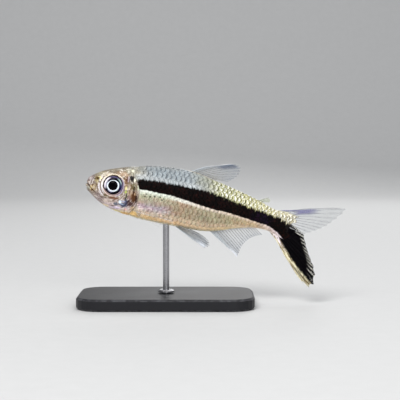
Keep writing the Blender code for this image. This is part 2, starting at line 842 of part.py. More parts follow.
def rounded_outline(length, width, corner, steps=6):
    """Points round a rectangle with round corners."""
    points = []
    for quarter, (sx, sy) in enumerate(((1, 1), (-1, 1), (-1, -1), (1, -1))):
        centre_x = sx * (length / 2 - corner)
        centre_y = sy * (width / 2 - corner)
        for k in range(steps + 1):
            angle = math.pi / 2 * (quarter + k / steps)
            points.append((centre_x + corner * math.cos(angle), centre_y + corner * math.sin(angle)))
    return points


def build_base(finish):
    """The flat base, with chamfered edges and a blind hole for the rod."""
    levels = (
        (BASE_CHAMFER, 0.0),
        (0.0, BASE_CHAMFER),
        (0.0, BASE_THICKNESS - BASE_CHAMFER),
        (BASE_CHAMFER, BASE_THICKNESS),
    )
    points = []
    for inset, height in levels:
        outline = rounded_outline(BASE_LENGTH - 2 * inset, BASE_WIDTH - 2 * inset, BASE_CORNER - inset)
        points += [(x, y, height) for x, y in outline]
    count = len(points) // len(levels)
    faces = [list(range(count)), list(range(len(points) - count, len(points)))]
    for level in range(len(levels) - 1):
        for k in range(count):
            low = level * count + k
            after = level * count + (k + 1) % count
            faces.append((low, after, after + count, low + count))
    base = new_object("stand_base", points, faces)
    radius = ROD_RADIUS + JOINT_GAP
    low = BASE_THICKNESS - BASE_SOCKET_DEPTH
    high = BASE_THICKNESS + WIDE
    hole = [(0, low), (radius, low), (radius, high), (0, high)]
    combine(base, turned("base_hole", hole, ROD_SIDES), "DIFFERENCE")
    finish_node(base, finish, bend=False)


# The whole model

for old in list(bpy.data.objects):
    bpy.data.objects.remove(old)

silver_skin = material("silver_skin", (0.72, 0.71, 0.66), 0.35, metallic=0.4)
gill_plate = material("gill_plate", (0.66, 0.55, 0.48), 0.3, metallic=0.4)
clear_fin = material("clear_fin", (0.75, 0.78, 0.8), 0.3, alpha=0.5)
black_fin = material("black_fin", (0.05, 0.04, 0.05), 0.4, alpha=0.9)
eye_gloss = material("eye_gloss", (0.08, 0.08, 0.12), 0.08)
steel = material("steel", (0.62, 0.62, 0.64), 0.25, metallic=1.0)
base_black = material("base_black", (0.03, 0.03, 0.035), 0.35)

body = whole_body("whole_body")
build_head(body, silver_skin)
build_lower_jaw(body, silver_skin)
build_trunk(body, silver_skin)
build_stalk(body, silver_skin)
for side_sign in (-1, 1):
    build_gill_cover(side_sign, gill_plate)
    build_eye(side_sign, eye_gloss)
    build_pelvic_fin(side_sign, clear_fin)
    build_pectoral_fin(side_sign, clear_fin)
build_dorsal_fin(clear_fin)
build_adipose_fin(clear_fin)
build_anal_fin(clear_fin)
build_upper_tail_lobe(clear_fin)
build_lower_tail_lobe(black_fin)
build_rod(steel)
build_base(base_black)
bpy.data.objects.remove(body)
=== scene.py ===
"""Looks of a life-size penguin tetra, swimming head up over a small display stand.

The fish is drawn straight first, in millimetres: along runs from the snout to the tail, side to the
fish's right and height upwards. Then each piece is bent into the swimming pose and put in metres.
"""

import math

import bpy
import numpy as np
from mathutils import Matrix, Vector


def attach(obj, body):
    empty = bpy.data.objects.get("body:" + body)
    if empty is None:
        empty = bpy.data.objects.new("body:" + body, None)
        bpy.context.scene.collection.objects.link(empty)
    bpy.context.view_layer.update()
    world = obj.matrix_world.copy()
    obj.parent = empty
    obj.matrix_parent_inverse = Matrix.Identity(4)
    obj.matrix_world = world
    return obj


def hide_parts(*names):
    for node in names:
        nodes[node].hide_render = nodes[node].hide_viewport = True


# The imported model, and the camera at the photograph's place: it looks square at the left flank, a
# little from above, so far off that the fish is shown with hardly any perspective.
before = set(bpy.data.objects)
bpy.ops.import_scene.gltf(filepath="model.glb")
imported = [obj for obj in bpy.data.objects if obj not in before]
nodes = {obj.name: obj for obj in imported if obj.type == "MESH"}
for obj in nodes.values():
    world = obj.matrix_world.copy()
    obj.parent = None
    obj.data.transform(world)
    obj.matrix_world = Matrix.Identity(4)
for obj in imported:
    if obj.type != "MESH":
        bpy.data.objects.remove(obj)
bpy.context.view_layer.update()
scene = bpy.context.scene
MM = 0.001
VIEW_CENTRE = Vector((8.5, 0.0, 26.375)) * MM
VIEW_WIDTH = 100.0
VIEW_LENS = 110.0
VIEW_SENSOR = 36.0
VIEW_ELEVATION = math.radians(3.5)

camera_data = bpy.data.cameras.new("camera")
camera_data.lens = VIEW_LENS
camera_data.sensor_width = VIEW_SENSOR
camera_data.clip_start = 0.01
camera_data.clip_end = 20.0
camera = bpy.data.objects.new("camera", camera_data)
scene.collection.objects.link(camera)
view_distance = VIEW_WIDTH * VIEW_LENS / VIEW_SENSOR * MM
toward_camera = Vector((0.0, -math.cos(VIEW_ELEVATION), math.sin(VIEW_ELEVATION)))
camera.location = VIEW_CENTRE + toward_camera * view_distance
camera.rotation_euler = (-toward_camera).to_track_quat("-Z", "Y").to_euler()
scene.camera = camera
scene.view_settings.view_transform = "Standard"


# The stand: a moulded black base with a fine satin texture, and a turned steel rod pressed into it.
# Both keep their CAD shape. Dust lies on the base, its edges are rubbed paler, the rod is brushed.
# Colours are written as on a screen, with red, green and blue up to 255.
BASE_COLOUR = (30, 30, 33)
BASE_DUST = (96, 94, 90)
BASE_EDGE = (78, 78, 82)
ROD_COLOUR = (196, 196, 198)
ROD_SHADE = (120, 120, 124)


def paint(red, green, blue):
    """A screen's colour as a shader takes it."""
    shares = [value / 255 for value in (red, green, blue)]
    linear = [s / 12.92 if s <= 0.04045 else ((s + 0.055) / 1.055) ** 2.4 for s in shares]
    return (*linear, 1.0)


def feed(socket, value):
    """Links a reading to a socket, or sets the socket itself."""
    if isinstance(value, Reading):
        socket.id_data.links.new(value.socket, socket)
    else:
        socket.default_value = paint(*value) if socket.type == "RGBA" else value


def wired(tree, kind, inputs, output, **settings):
    """Adds a node with its settings, feeds its inputs and gives one of its outputs."""
    made = tree.nodes.new(kind)
    for name, value in settings.items():
        setattr(made, name, value)
    for name, value in inputs.items():
        feed(made.inputs[name], value)
    return Reading(made.outputs[output])


class Reading:
    """What a node puts out over a surface. Python's signs make the sums with it, as nodes."""

    def __init__(self, socket):
        self.socket = socket
        self.tree = socket.id_data

    def work(self, operation, *others):
        return self.worked(operation, self, *others)

    def worked(self, operation, *values):
        return wired(self.tree, "ShaderNodeMath", dict(enumerate(values)), 0, operation=operation)

    def __add__(self, other):
        return self.work("ADD", other)

    def __sub__(self, other):
        return self.work("SUBTRACT", other)

    def __rsub__(self, other):
        return self.worked("SUBTRACT", other, self)

    def __mul__(self, other):
        return self.work("MULTIPLY", other)

    def __truediv__(self, other):
        return self.work("DIVIDE", other)

    def __abs__(self):
        return self.work("ABSOLUTE")

    def step(self, low, high):
        """A mask that turns smoothly from 0 at low to 1 at high. Low may be the larger of the two."""
        ends = {"Value": self, "From Min": low, "From Max": high}
        return wired(self.tree, "ShaderNodeMapRange", ends, "Result", interpolation_type="SMOOTHSTEP")

    def within(self, low, low_full, high_full, high):
        """A mask that is full from low_full to high_full and gone at low and high."""
        return self.step(low, low_full) * self.step(high, high_full)


def blended(share, under, over, way="MIX"):
    """Lays one colour over another."""
    tree = next(value.tree for value in (share, under, over) if isinstance(value, Reading))
    made = tree.nodes.new("ShaderNodeMix")
    made.data_type = "RGBA"
    made.blend_type = way
    colours = [socket for socket in made.inputs if socket.type == "RGBA"]
    for socket, value in ((made.inputs["Factor"], share), (colours[0], under), (colours[1], over)):
        feed(socket, value)
    return Reading([socket for socket in made.outputs if socket.type == "RGBA"][0])


def noise(place, scale, detail=3.0, roughness=0.55, stretch=None):
    """Soft noise between 0 and 1, about 0.5. Stretch scales the place along its three axes first."""
    if stretch:
        place = wired(place.tree, "ShaderNodeMapping", {"Vector": place, "Scale": stretch}, "Vector")
    settings = {"Vector": place, "Scale": scale, "Detail": detail, "Roughness": roughness}
    return wired(place.tree, "ShaderNodeTexNoise", settings, "Fac")


def parts_of(place):
    made = place.tree.nodes.new("ShaderNodeSeparateXYZ")
    feed(made.inputs[0], place)
    return [Reading(output) for output in made.outputs]


def bumped(height, distance, strength=1.0):
    """A normal from a height, for bumps so many millimetres deep."""
    settings = {"Strength": strength, "Distance": distance * MM, "Height": height}
    return wired(height.tree, "ShaderNodeBump", settings, "Normal")


def new_finish(name):
    """A material with an empty node tree but for its Principled shader."""
    made = bpy.data.materials.new(name)
    made.use_nodes = True
    return made, made.node_tree, made.node_tree.nodes["Principled BSDF"]


def dress(shader, looks):
    for name, value in looks.items():
        feed(shader.inputs[name], value)


def object_place(tree):
    return wired(tree, "ShaderNodeTexCoord", {}, "Object")


def base_finish():
    finish, tree, shader = new_finish("satin_black_base")
    place = object_place(tree)
    _, _, upward = parts_of(wired(tree, "ShaderNodeNewGeometry", {}, "Normal"))
    chamfer = abs(upward).within(0.3, 0.6, 0.8, 0.97)
    cloud = noise(place, 90.0)
    dust = cloud.step(0.42, 0.75) * upward.step(0.5, 0.95)
    colour = blended(dust * 0.16, BASE_COLOUR, BASE_DUST)
    rub = chamfer * noise(place, 900.0).step(0.35, 0.7)
    colour = blended(rub * 0.7, colour, BASE_EDGE)
    grain = noise(place, 5200.0, detail=1.0)
    dress(
        shader,
        {
            "Base Color": colour,
            "Roughness": cloud * 0.18 + 0.36,
            "Specular IOR Level": 0.2,
            "Normal": bumped(grain, 0.012, 0.5),
        },
    )
    return finish


def rod_finish():
    finish, tree, shader = new_finish("brushed_steel_rod")
    place = object_place(tree)
    strokes = noise(place, 1500.0, detail=4.0, stretch=(1.0, 1.0, 14.0))
    dress(
        shader,
        {
            "Base Color": blended(strokes, ROD_SHADE, ROD_COLOUR),
            "Metallic": 1.0,
            "Roughness": strokes * 0.22 + 0.18,
            "Normal": bumped(strokes, 0.01, 0.35),
        },
    )
    return finish


nodes["stand_base"].material_slots[0].material = base_finish()
nodes["stand_rod"].material_slots[0].material = rod_finish()


# The skin of the whole fish, from the lips to the root of the tail fin: one closed surface, so that no
# seam shows between head, jaw, gill covers, trunk and stalk. The bones of the head stand out under it,
# and behind the gill covers it lies under the scales.
BODY_LANDMARKS = {
    "snout tip": (0.0, 0.35, 0.35, 0.0),
    "lips": (0.09, 1.66, -0.62, 0.84),
    "upper jaw": (0.6, 2.4, -1.28, 1.32),
    "nostrils": (2.0, 3.4, -2.42, 1.78),
    "front of the eye": (4.4, 4.58, -4.0, 2.36),
    "back of the eye": (8.6, 5.82, -5.46, 2.94),
    "gill opening": (13.2, 6.86, -6.34, 3.28),
    "shoulder": (17.0, 7.38, -6.7, 3.44),
    "deepest point": (21.0, 7.55, -6.92, 3.44),
    "dorsal fin's first ray": (25.6, 7.3, -7.08, 3.18),
    "vent": (32.4, 5.86, -6.82, 2.5),
    "middle of the anal fin": (38.0, 4.58, -5.1, 1.9),
    "end of the anal fin": (44.2, 3.28, -3.3, 1.2),
    "narrowest part of the stalk": (47.4, 2.74, -2.98, 0.94),
    "tail fin's root": (50.0, 3.05, -3.25, 0.72),
}
WIDEST_HEIGHTS = {0.0: 0.35, 6.0: 0.4, 14.0: 0.8, 24.0: 0.6, 36.0: 0.1, 50.0: -0.1}
BACK_FULLNESS = 2.1
BELLY_FULLNESS = 2.3
STANDARD_LENGTH = 50.0
FLESH_END = 52.0
FLESH_END_WIDTH = 0.2
SNOUT_AT = (-19.8, 0.0, 30.0)
HEAD_PITCH = 8.0
TAIL_PITCH = 24.0
PITCH_POWER = 4.0
AXIS_STEP = 0.05
AXIS_END = 72.0
HEAD_RINGS = 170
HEAD_END = 14.0
BODY_RINGS = 130
SKIN_SIDES = 208
SCALES_DEPTH = 0.16

MOUTH_TIP = (0.0, 0.75)
MOUTH_CORNER = (2.7, -1.55)
NOSTRILS = ((1.95, 2.05, 0.3), (2.75, 2.3, 0.36))
EYE_AT = (6.7, 1.08)
EYE_SOCKET = 2.44
GILL_MARGIN = ((11.3, 4.7), (11.9, 3.5), (12.9, 2.0), (13.3, 0.2), (13.2, -1.8), (12.7, -3.7), (11.6, -5.2))
CHEEK_MARGIN = ((10.3, -5.1), (10.5, -3.4), (10.75, -1.2), (10.7, 0.8), (10.3, 2.6), (10.3, 4.2))
NAPE_EDGE = ((11.5, 5.6), (12.1, 7.0))
THROAT_EDGE = ((11.3, -5.9), (11.9, -6.6))
JAW_BLADE = ((1.35, 0.25), (3.35, -1.25))
LIP_WIDTH = 0.22
EYE_PLATE_SEAMS = (-158, -112, -62, -14, 30)
EYE_PORES = range(-170, 50, 22)
HEAD_SEAMS = (
    ((10.9, -3.0), (13.0, -2.1), 0.07),
    ((10.6, -4.4), (12.2, -4.2), 0.05),
    ((5.4, -3.9), (10.2, -4.9), 0.06),
    ((6.9, -4.9), (11.4, -5.55), 0.05),
    ((8.2, -5.35), (11.6, -6.0), 0.05),
)
BLACK_BAND_TOP = {
    12.2: 3.64, 16.8: 3.68, 21.2: 3.54, 25.8: 3.3, 30.3: 3.01, 34.9: 2.27, 39.6: 1.56, 44.2: 1.2,
    48.0: 1.06, 52.5: 0.62,
}
BLACK_BAND_LOW = {
    12.6: 1.17, 17.2: 0.89, 21.7: 0.57, 26.3: -0.15, 31.0: -0.92, 35.6: -1.21, 40.4: -1.54,
    45.2: -1.75, 47.3: -1.82, 49.2: -2.3, 51.2: -3.2, 52.5: -4.2,
}


def smooth_curve(knots, values):
    """Gives a function that follows a natural cubic spline through the values, straight past its ends."""
    x = np.array(knots, float)
    y = np.array(values, float)
    step = np.diff(x)
    slope = np.diff(y) / step
    system = np.eye(len(x))
    right = np.zeros(len(x))
    for i in range(1, len(x) - 1):
        system[i, i - 1 : i + 2] = step[i - 1], 2 * (step[i - 1] + step[i]), step[i]
        right[i] = 6 * (slope[i] - slope[i - 1])
    bend = np.linalg.solve(system, right)
    end_slope = slope[-1] + bend[-2] * step[-1] / 6

    def at(place):
        place = np.asarray(place, float)
        inside = np.clip(place, x[0], x[-1])
        i = np.clip(np.searchsorted(x, inside) - 1, 0, len(step) - 1)
        h = step[i]
        after = x[i + 1] - inside
        before = inside - x[i]
        curved = (bend[i] * after**3 + bend[i + 1] * before**3) / (6 * h)
        start = (y[i] / h - bend[i] * h / 6) * after
        end = (y[i + 1] / h - bend[i + 1] * h / 6) * before
        return curved + start + end + end_slope * np.maximum(place - x[-1], 0.0)

    return at


marks = list(BODY_LANDMARKS.values())
mark_roots = [math.sqrt(mark[0]) for mark in marks]
back_curve = smooth_curve(mark_roots, [mark[1] for mark in marks])
belly_curve = smooth_curve(mark_roots, [mark[2] for mark in marks])
width_curve = smooth_curve(mark_roots, [mark[3] for mark in marks])
widest_height = smooth_curve(list(WIDEST_HEIGHTS), list(WIDEST_HEIGHTS.values()))
band_top = smooth_curve(list(BLACK_BAND_TOP), list(BLACK_BAND_TOP.values()))
band_low = smooth_curve(list(BLACK_BAND_LOW), list(BLACK_BAND_LOW.values()))


def back_height(along):
    return back_curve(np.sqrt(np.clip(along, 0.0, FLESH_END)))


def belly_height(along):
    return belly_curve(np.sqrt(np.clip(along, 0.0, FLESH_END)))


def half_width(along):
    """Half the body's width. Past the tail fin's root the flesh thins out over the fin's rays."""
    past = np.clip((along - STANDARD_LENGTH) / (FLESH_END - STANDARD_LENGTH), 0.0, 1.0)
    width = width_curve(np.sqrt(np.clip(along, 0.0, STANDARD_LENGTH)))
    return width * (1 - past**1.2) + FLESH_END_WIDTH * past**1.2


def skin_surface(along, turn):
    """Points of the straight fish's skin. A turn of 0 is the right flank and 90 degrees the back."""
    along = np.asarray(along, float)
    turn = np.asarray(turn, float)
    middle = widest_height(along)
    across = np.cos(turn)
    rise = np.sin(turn)
    side = np.sign(across) * np.abs(across) ** (2 / BELLY_FULLNESS) * half_width(along)
    over = middle + (back_height(along) - middle) * np.abs(rise) ** (2 / BACK_FULLNESS)
    under = middle - (middle - belly_height(along)) * np.abs(rise) ** (2 / BELLY_FULLNESS)
    return np.stack([along + turn * 0, side, np.where(rise >= 0, over, under)], axis=-1)


def skin_outward(along, turn):
    """The direction straight out of the skin."""
    small = 0.02
    here = skin_surface(along, turn)
    behind = skin_surface(np.asarray(along) + small, turn) - here
    around = skin_surface(along, np.asarray(turn) + small) - skin_surface(along, np.asarray(turn) - small)
    normal = np.cross(around, behind)
    return normal / np.maximum(np.linalg.norm(normal, axis=-1, keepdims=True), 1e-9)


def turn_at_height(along, height):
    """The turn, on the right flank, at which the skin has this height."""
    middle = float(widest_height(along))
    if height >= middle:
        share = (height - middle) / (float(back_height(along)) - middle)
        return math.asin(min(1.0, share) ** (BACK_FULLNESS / 2))
    share = (middle - height) / (middle - float(belly_height(along)))
    return -math.asin(min(1.0, share) ** (BELLY_FULLNESS / 2))


def flank_point(along, height, sign, lift=0.0):
    """A point of one flank, lifted off the skin, and the direction out of the skin there."""
    turn = turn_at_height(along, height)
    mirror = np.array([1.0, sign, 1.0])
    normal = skin_outward(along, turn)
    return (skin_surface(along, turn) + normal * lift) * mirror, normal * mirror


axis_places = np.arange(0.0, AXIS_END, AXIS_STEP)


def pitch_at(along):
    share = np.minimum(np.maximum(along, 0.0) / STANDARD_LENGTH, 1.0)
    return np.radians(HEAD_PITCH + (TAIL_PITCH - HEAD_PITCH) * share**PITCH_POWER)


middles = pitch_at(axis_places[:-1] + AXIS_STEP / 2)
axis_x = SNOUT_AT[0] + np.concatenate([[0.0], np.cumsum(np.cos(middles) * AXIS_STEP)])
axis_z = SNOUT_AT[2] - np.concatenate([[0.0], np.cumsum(np.sin(middles) * AXIS_STEP)])


def swung(directions, along):
    """Directions of the straight fish, turned with its axis."""
    pitch = pitch_at(along)
    x = directions[..., 0] * np.cos(pitch) + directions[..., 2] * np.sin(pitch)
    z = directions[..., 2] * np.cos(pitch) - directions[..., 0] * np.sin(pitch)
    return np.stack([x, directions[..., 1], z], axis=-1)


def posed(points):
    """Where points of the straight fish, in millimetres, lie in the posed one, in metres."""
    points = np.asarray(points, float)
    along = np.maximum(points[..., 0], 0.0)
    off_axis = points - np.stack([along, along * 0, along * 0], axis=-1)
    place = swung(off_axis, along)
    place[..., 0] += np.interp(along, axis_places, axis_x)
    place[..., 2] += np.interp(along, axis_places, axis_z)
    return place * MM


def new_piece(name, points, faces, finish=None, edges=()):
    """A mesh object at the origin, smooth shaded, from points in metres."""
    mesh = bpy.data.meshes.new(name)
    mesh.from_pydata([tuple(p) for p in points], list(edges), faces)
    mesh.shade_smooth()
    piece = bpy.data.objects.new(name, mesh)
    scene.collection.objects.link(piece)
    if finish:
        mesh.materials.append(finish)
    return piece


def mark_points(piece, name, values):
    """Stores one number or vector for each point of a mesh, for materials and nodes to read."""
    values = np.asarray(values, float)
    vector = values.ndim == 2
    kind = "FLOAT_VECTOR" if vector else "FLOAT"
    attribute = piece.data.attributes.new(name, kind, "POINT")
    attribute.data.foreach_set("vector" if vector else "value", values.ravel())


def eased(value, low, high):
    """The same soft step as in the materials, for arrays."""
    share = np.clip((value - low) / (high - low), 0.0, 1.0)
    return share * share * (3 - 2 * share)


def ridge(distance, width):
    return np.exp(-((distance / width) ** 2))


def segment_distance(along, height, start, end):
    """How far each point lies from a straight line between two (along, height) places."""
    step = np.subtract(end, start)
    share = ((along - start[0]) * step[0] + (height - start[1]) * step[1]) / step.dot(step)
    share = np.clip(share, 0.0, 1.0)
    return np.hypot(along - start[0] - share * step[0], height - start[1] - share * step[1])


def margin_line(points):
    """A margin on the side of the head, as a function from height to distance along the fish."""
    ordered = sorted(points, key=lambda point: point[1])
    return smooth_curve([point[1] for point in ordered], [point[0] for point in ordered])


gill_line = margin_line([*GILL_MARGIN, *NAPE_EDGE, *THROAT_EDGE])
cheek_line = margin_line(CHEEK_MARGIN)


def scales_start(height):
    """Where the scales begin, at each height: under the gill cover's edge, and on the nape and breast."""
    return gill_line(np.clip(height, THROAT_EDGE[1][1], NAPE_EDGE[1][1]))


def mouth_relief(along, height):
    """The slit of the mouth, the two lips and the blade of the upper jaw beside its corner."""
    step = np.subtract(MOUTH_CORNER, MOUTH_TIP)
    length = np.hypot(*step)
    ahead = step / length
    back = (along - MOUTH_TIP[0]) * ahead[0] + (height - MOUTH_TIP[1]) * ahead[1]
    over = (along - MOUTH_TIP[0]) * -ahead[1] + (height - MOUTH_TIP[1]) * ahead[0]
    open_part = eased(back, length + 0.15, length - 0.7)
    slit = ridge(over, 0.1) * open_part
    lift = -0.34 * slit
    lift += 0.12 * ridge(over - 0.34, LIP_WIDTH) * open_part
    lift += (0.1 + 0.2 * np.exp(-along / 0.7)) * ridge(over + 0.34, LIP_WIDTH) * open_part
    lift -= 0.07 * ridge(over + 0.78, 0.14) * open_part * eased(back, 0.2, 1.0)
    blade = segment_distance(along, height, *JAW_BLADE)
    lift += 0.1 * eased(blade, 0.5, 0.38)
    edge = ridge(blade - 0.52, 0.07) * eased(along, 0.7, 1.2)
    lift -= 0.07 * edge
    # The slit and the groove beside the jaw's blade are darkened with painted shade.
    return lift, slit + 0.45 * edge


def nostril_relief(along, height):
    """Two openings a side, with a low rim and a flap of skin between them."""
    lift = np.zeros_like(along)
    dark = np.zeros_like(along)
    for x, z, radius in NOSTRILS:
        distance = np.hypot(along - x, height - z)
        lift -= 0.26 * eased(distance, radius, radius * 0.45)
        lift += 0.07 * ridge(distance - radius * 1.15, 0.09)
        # Painted shade darkens each opening.
        dark += eased(distance, radius * 0.95, radius * 0.5)
    return lift, dark


def eye_distance(points, sign):
    """How far points lie from the line through the middle of an eye, and at which angle round it."""
    centre, normal = flank_point(*EYE_AT, sign)
    off = points - centre
    off = off - (off @ normal)[..., None] * normal
    distance = np.linalg.norm(off, axis=-1)
    distance = np.where(points[..., 1] * sign > 0, distance, 99.0)
    return distance, np.degrees(np.arctan2(off[..., 2], off[..., 0]))


def eye_offsets(points):
    """Each point's place round the nearer eye: tailward, upward, and its distance from the middle."""
    offsets = np.full((len(points), 3), 20.0)
    for sign in (-1, 1):
        distance, angle = eye_distance(points, sign)
        turned = np.radians(angle)
        found = np.stack([distance * np.cos(turned), distance * np.sin(turned), distance], axis=-1)
        offsets = np.where((distance < 20)[:, None], found, offsets)
    return offsets


def eye_relief(points):
    """The sockets, their raised rims, and the thin plates of bone under and behind each eye."""
    lift = np.zeros(points.shape[:-1])
    dark = np.zeros(points.shape[:-1])
    for sign in (-1, 1):
        distance, angle = eye_distance(points, sign)
        lift -= 0.95 * eased(distance, EYE_SOCKET + 0.16, EYE_SOCKET - 0.16)
        # Painted shade darkens the socket's edge, the seams between the plates, the plates' outer rim and
        # the pores.
        dark += eased(distance, EYE_SOCKET + 0.12, EYE_SOCKET)
        lift += 0.09 * ridge(distance - EYE_SOCKET - 0.34, 0.17)
        outer = 1.35 + 0.5 * eased(np.abs(angle + 30), 90.0, 20.0)
        band = eased(distance, EYE_SOCKET + 0.3, EYE_SOCKET + 0.5)
        plates = band * eased(distance, EYE_SOCKET + outer, EYE_SOCKET + outer - 0.2)
        for seam in EYE_PLATE_SEAMS:
            off = np.radians((angle - seam + 180) % 360 - 180) * distance
            crease = ridge(off, 0.07) * plates
            lift -= 0.06 * crease
            dark += 0.5 * crease
        rim = ridge(distance - EYE_SOCKET - outer, 0.08) * eased(np.abs(angle + 50), 120.0, 100.0)
        lift -= 0.06 * rim
        dark += 0.4 * rim
        for pore in EYE_PORES:
            x = np.radians((angle - pore + 180) % 360 - 180) * distance
            spot = np.hypot(x, distance - EYE_SOCKET - 0.62)
            lift -= 0.05 * ridge(spot, 0.07)
            dark += 0.5 * ridge(spot, 0.08)
    return lift, dark


def gill_cover_relief(along, height):
    """The cheek's crest, the plates of the gill cover, their creases and the free rear margin."""
    inside = eased(height, -6.0, -5.0) * eased(height, 5.1, 4.2)
    past_cheek = along - cheek_line(np.clip(height, -5.1, 4.2))
    past_gill = along - scales_start(height)
    cheek_part = inside * eased(height, 4.6, 3.4)
    lift = 0.1 * ridge(past_cheek + 0.3, 0.22) * cheek_part
    crease = ridge(past_cheek, 0.08) * cheek_part
    lift -= 0.12 * crease
    cover = eased(past_cheek, 0.0, 0.35) * eased(past_gill, 0.06, -0.07) * inside
    lift += 0.12 * cover
    margin_part = eased(height, -6.3, -5.0) * eased(height, 5.4, 4.4)
    opening = ridge(past_gill - 0.09, 0.11) * margin_part
    lift -= 0.14 * opening
    bare_edge = np.maximum(eased(height, 4.6, 5.6), eased(height, -5.1, -5.8))
    sunk = eased(past_gill, -0.06, 0.1) * (1 - bare_edge) + eased(past_gill, -1.4, 0.3) * bare_edge
    lift -= SCALES_DEPTH * sunk
    # Painted shade darkens the cheek's crease, the gill opening and the seams of the head.
    dark = 0.35 * crease + 0.3 * opening
    for start, end, depth in HEAD_SEAMS:
        seam = ridge(segment_distance(along, height, start, end), 0.075)
        lift -= depth * seam
        dark += 0.4 * seam
    return lift, dark


def flesh_relief(points):
    """How far the skin of the head rises or sinks, and how much painted shade darkens its creases, seams,
    pores and openings.
    """
    along = points[..., 0]
    height = points[..., 2]
    lift = np.zeros_like(along)
    dark = np.zeros_like(along)
    for part_lift, part_dark in (
        mouth_relief(along, height),
        nostril_relief(along, height),
        eye_relief(points),
        gill_cover_relief(along, height),
    ):
        lift += part_lift
        dark += part_dark
    return lift, np.clip(dark, 0.0, 1.0)


def band_places(points):
    """How far points lie over the black band, and under it, and which share of the flank that is."""
    along = points[..., 0]
    height = points[..., 2]
    over = height - band_top(along)
    under = band_low(along) - height
    share = under / np.maximum(band_low(along) - belly_height(along), 0.3)
    return np.stack([over, under, share], axis=-1)


def capped_tube(rings, sides):
    """Faces of a closed tube: its first and last points are its poles, with rings of points between."""
    faces = []
    last = rings * sides + 1
    for k in range(sides):
        after = (k + 1) % sides
        faces.append((0, 1 + after, 1 + k))
        faces.append((last, last - sides + k, last - sides + after))
        for low in range(1, last - sides, sides):
            faces.append((low + k, low + after, low + sides + after, low + sides + k))
    return faces


def build_skin(finish):
    head = HEAD_END * (np.arange(1, HEAD_RINGS + 1) / HEAD_RINGS) ** 1.6
    behind = HEAD_END + (FLESH_END - HEAD_END) * np.arange(1, BODY_RINGS + 1) / BODY_RINGS
    places = np.concatenate([head, behind])
    turns = 2 * math.pi * (np.arange(SKIN_SIDES) + 0.5) / SKIN_SIDES
    along, turn = np.meshgrid(places, turns, indexing="ij")
    points = skin_surface(along, turn)
    normals = skin_outward(along, turn)
    lift, dark = flesh_relief(points)
    moved = points + normals * lift[..., None]
    snout = np.array([[-0.05, 0.0, 0.35]])
    end = np.array([[FLESH_END + 0.04, 0.0, float(widest_height(FLESH_END))]])
    straight = np.concatenate([snout, points.reshape(-1, 3), end])
    solid = np.concatenate([snout, moved.reshape(-1, 3), end])
    skin = new_piece("skin", posed(solid), capped_tube(len(places), SKIN_SIDES), finish)
    mark_points(skin, "straight", straight)
    mark_points(skin, "band", band_places(straight))
    # The painted shade of the head's creases, seams, pores and openings.
    mark_points(skin, "crease", np.concatenate([[0.3], dark.ravel(), [0.0]]))
    mark_points(skin, "eye_off", eye_offsets(straight))
    mark_points(skin, "scaled", eased(straight[:, 0] - scales_start(straight[:, 2]), -0.05, 0.12))
    return skin


# The markings, in the skin and in each scale alike: a black band from the gill cover into the tail fin,
# a pale line under it, a back that turns from blue-grey to straw, and a rosy tan flank with a lilac
# patch. The tables give colours and depths by the place along the fish.
BACK_COLOURS = {
    8.0: (166, 160, 144), 12.0: (168, 164, 148), 14.5: (150, 156, 158), 17.0: (155, 166, 172),
    25.0: (168, 178, 184), 30.0: (178, 180, 162), 33.0: (206, 206, 152), 40.0: (228, 224, 156),
    46.0: (240, 232, 172), 51.0: (246, 236, 200),
}
FLANK_COLOURS = {
    8.0: (204, 188, 170), 13.0: (204, 188, 170), 18.0: (182, 168, 154), 24.0: (192, 168, 140),
    30.0: (184, 174, 146), 36.0: (186, 174, 142), 43.0: (218, 190, 150), 48.0: (244, 222, 214),
    51.0: (255, 244, 246),
}
PALE_LINE_COLOURS = {
    8.0: (255, 255, 248), 18.0: (246, 255, 238), 25.0: (255, 252, 240), 30.0: (246, 230, 212),
    44.0: (236, 210, 184), 49.0: (255, 238, 242),
}
PALE_LINE_DEPTHS = {8.0: 1.48, 20.0: 1.0, 27.0: 0.68, 33.0: 0.52, 44.0: 0.32, 52.0: 0.24}
# The belly: its own orange tan, painted a little brighter to make up for the shade under the fish. Its rim
# is its own cream painted nearly white, as painted light from below.
BELLY_COLOURS = {
    6.0: (244, 206, 144), 12.0: (255, 214, 142), 22.0: (255, 212, 156), 26.0: (240, 210, 172),
    36.0: (244, 216, 168), 46.0: (252, 230, 212),
}
LIT_BELLY_RIM = (255, 244, 206)
BAND_BLACK = (4, 2, 2)
BAND_SHEEN = (54, 22, 18)
BAND_BLUE = (26, 18, 52)


def new_group(kind, name, inputs, outputs):
    """An empty node group: its tree, the readings that it is given, and its result's sockets."""
    tree = bpy.data.node_groups.new(name, kind)
    for way, sockets in (("INPUT", inputs), ("OUTPUT", outputs)):
        for title, value in sockets.items():
            tree.interface.new_socket(name=title, in_out=way, socket_type=f"NodeSocket{value}")
    given = tree.nodes.new("NodeGroupInput").outputs
    result = tree.nodes.new("NodeGroupOutput").inputs
    return tree, {title: Reading(given[title]) for title in inputs}, result


def grouped(tree, group, values):
    """Sets a shader node group in a material with its own values, and gives all its readings."""
    made = tree.nodes.new("ShaderNodeGroup")
    made.node_tree = group
    dress(made, values)
    return [Reading(output) for output in made.outputs]


def own_attribute(tree, name, output="Vector"):
    return wired(tree, "ShaderNodeAttribute", {}, output, attribute_name=name)


def colours_along(value, stops):
    """A colour that follows a reading through a table of stops, from the lowest to the highest."""
    low = min(stops)
    high = max(stops)
    made = value.tree.nodes.new("ShaderNodeValToRGB")
    feed(made.inputs[0], (value - low) / (high - low))
    elements = made.color_ramp.elements
    for index, (place, colour) in enumerate(stops.items()):
        share = (place - low) / (high - low)
        element = elements[index] if index < 2 else elements.new(share)
        element.position = share
        element.color = paint(*colour)
    return Reading(made.outputs["Color"])


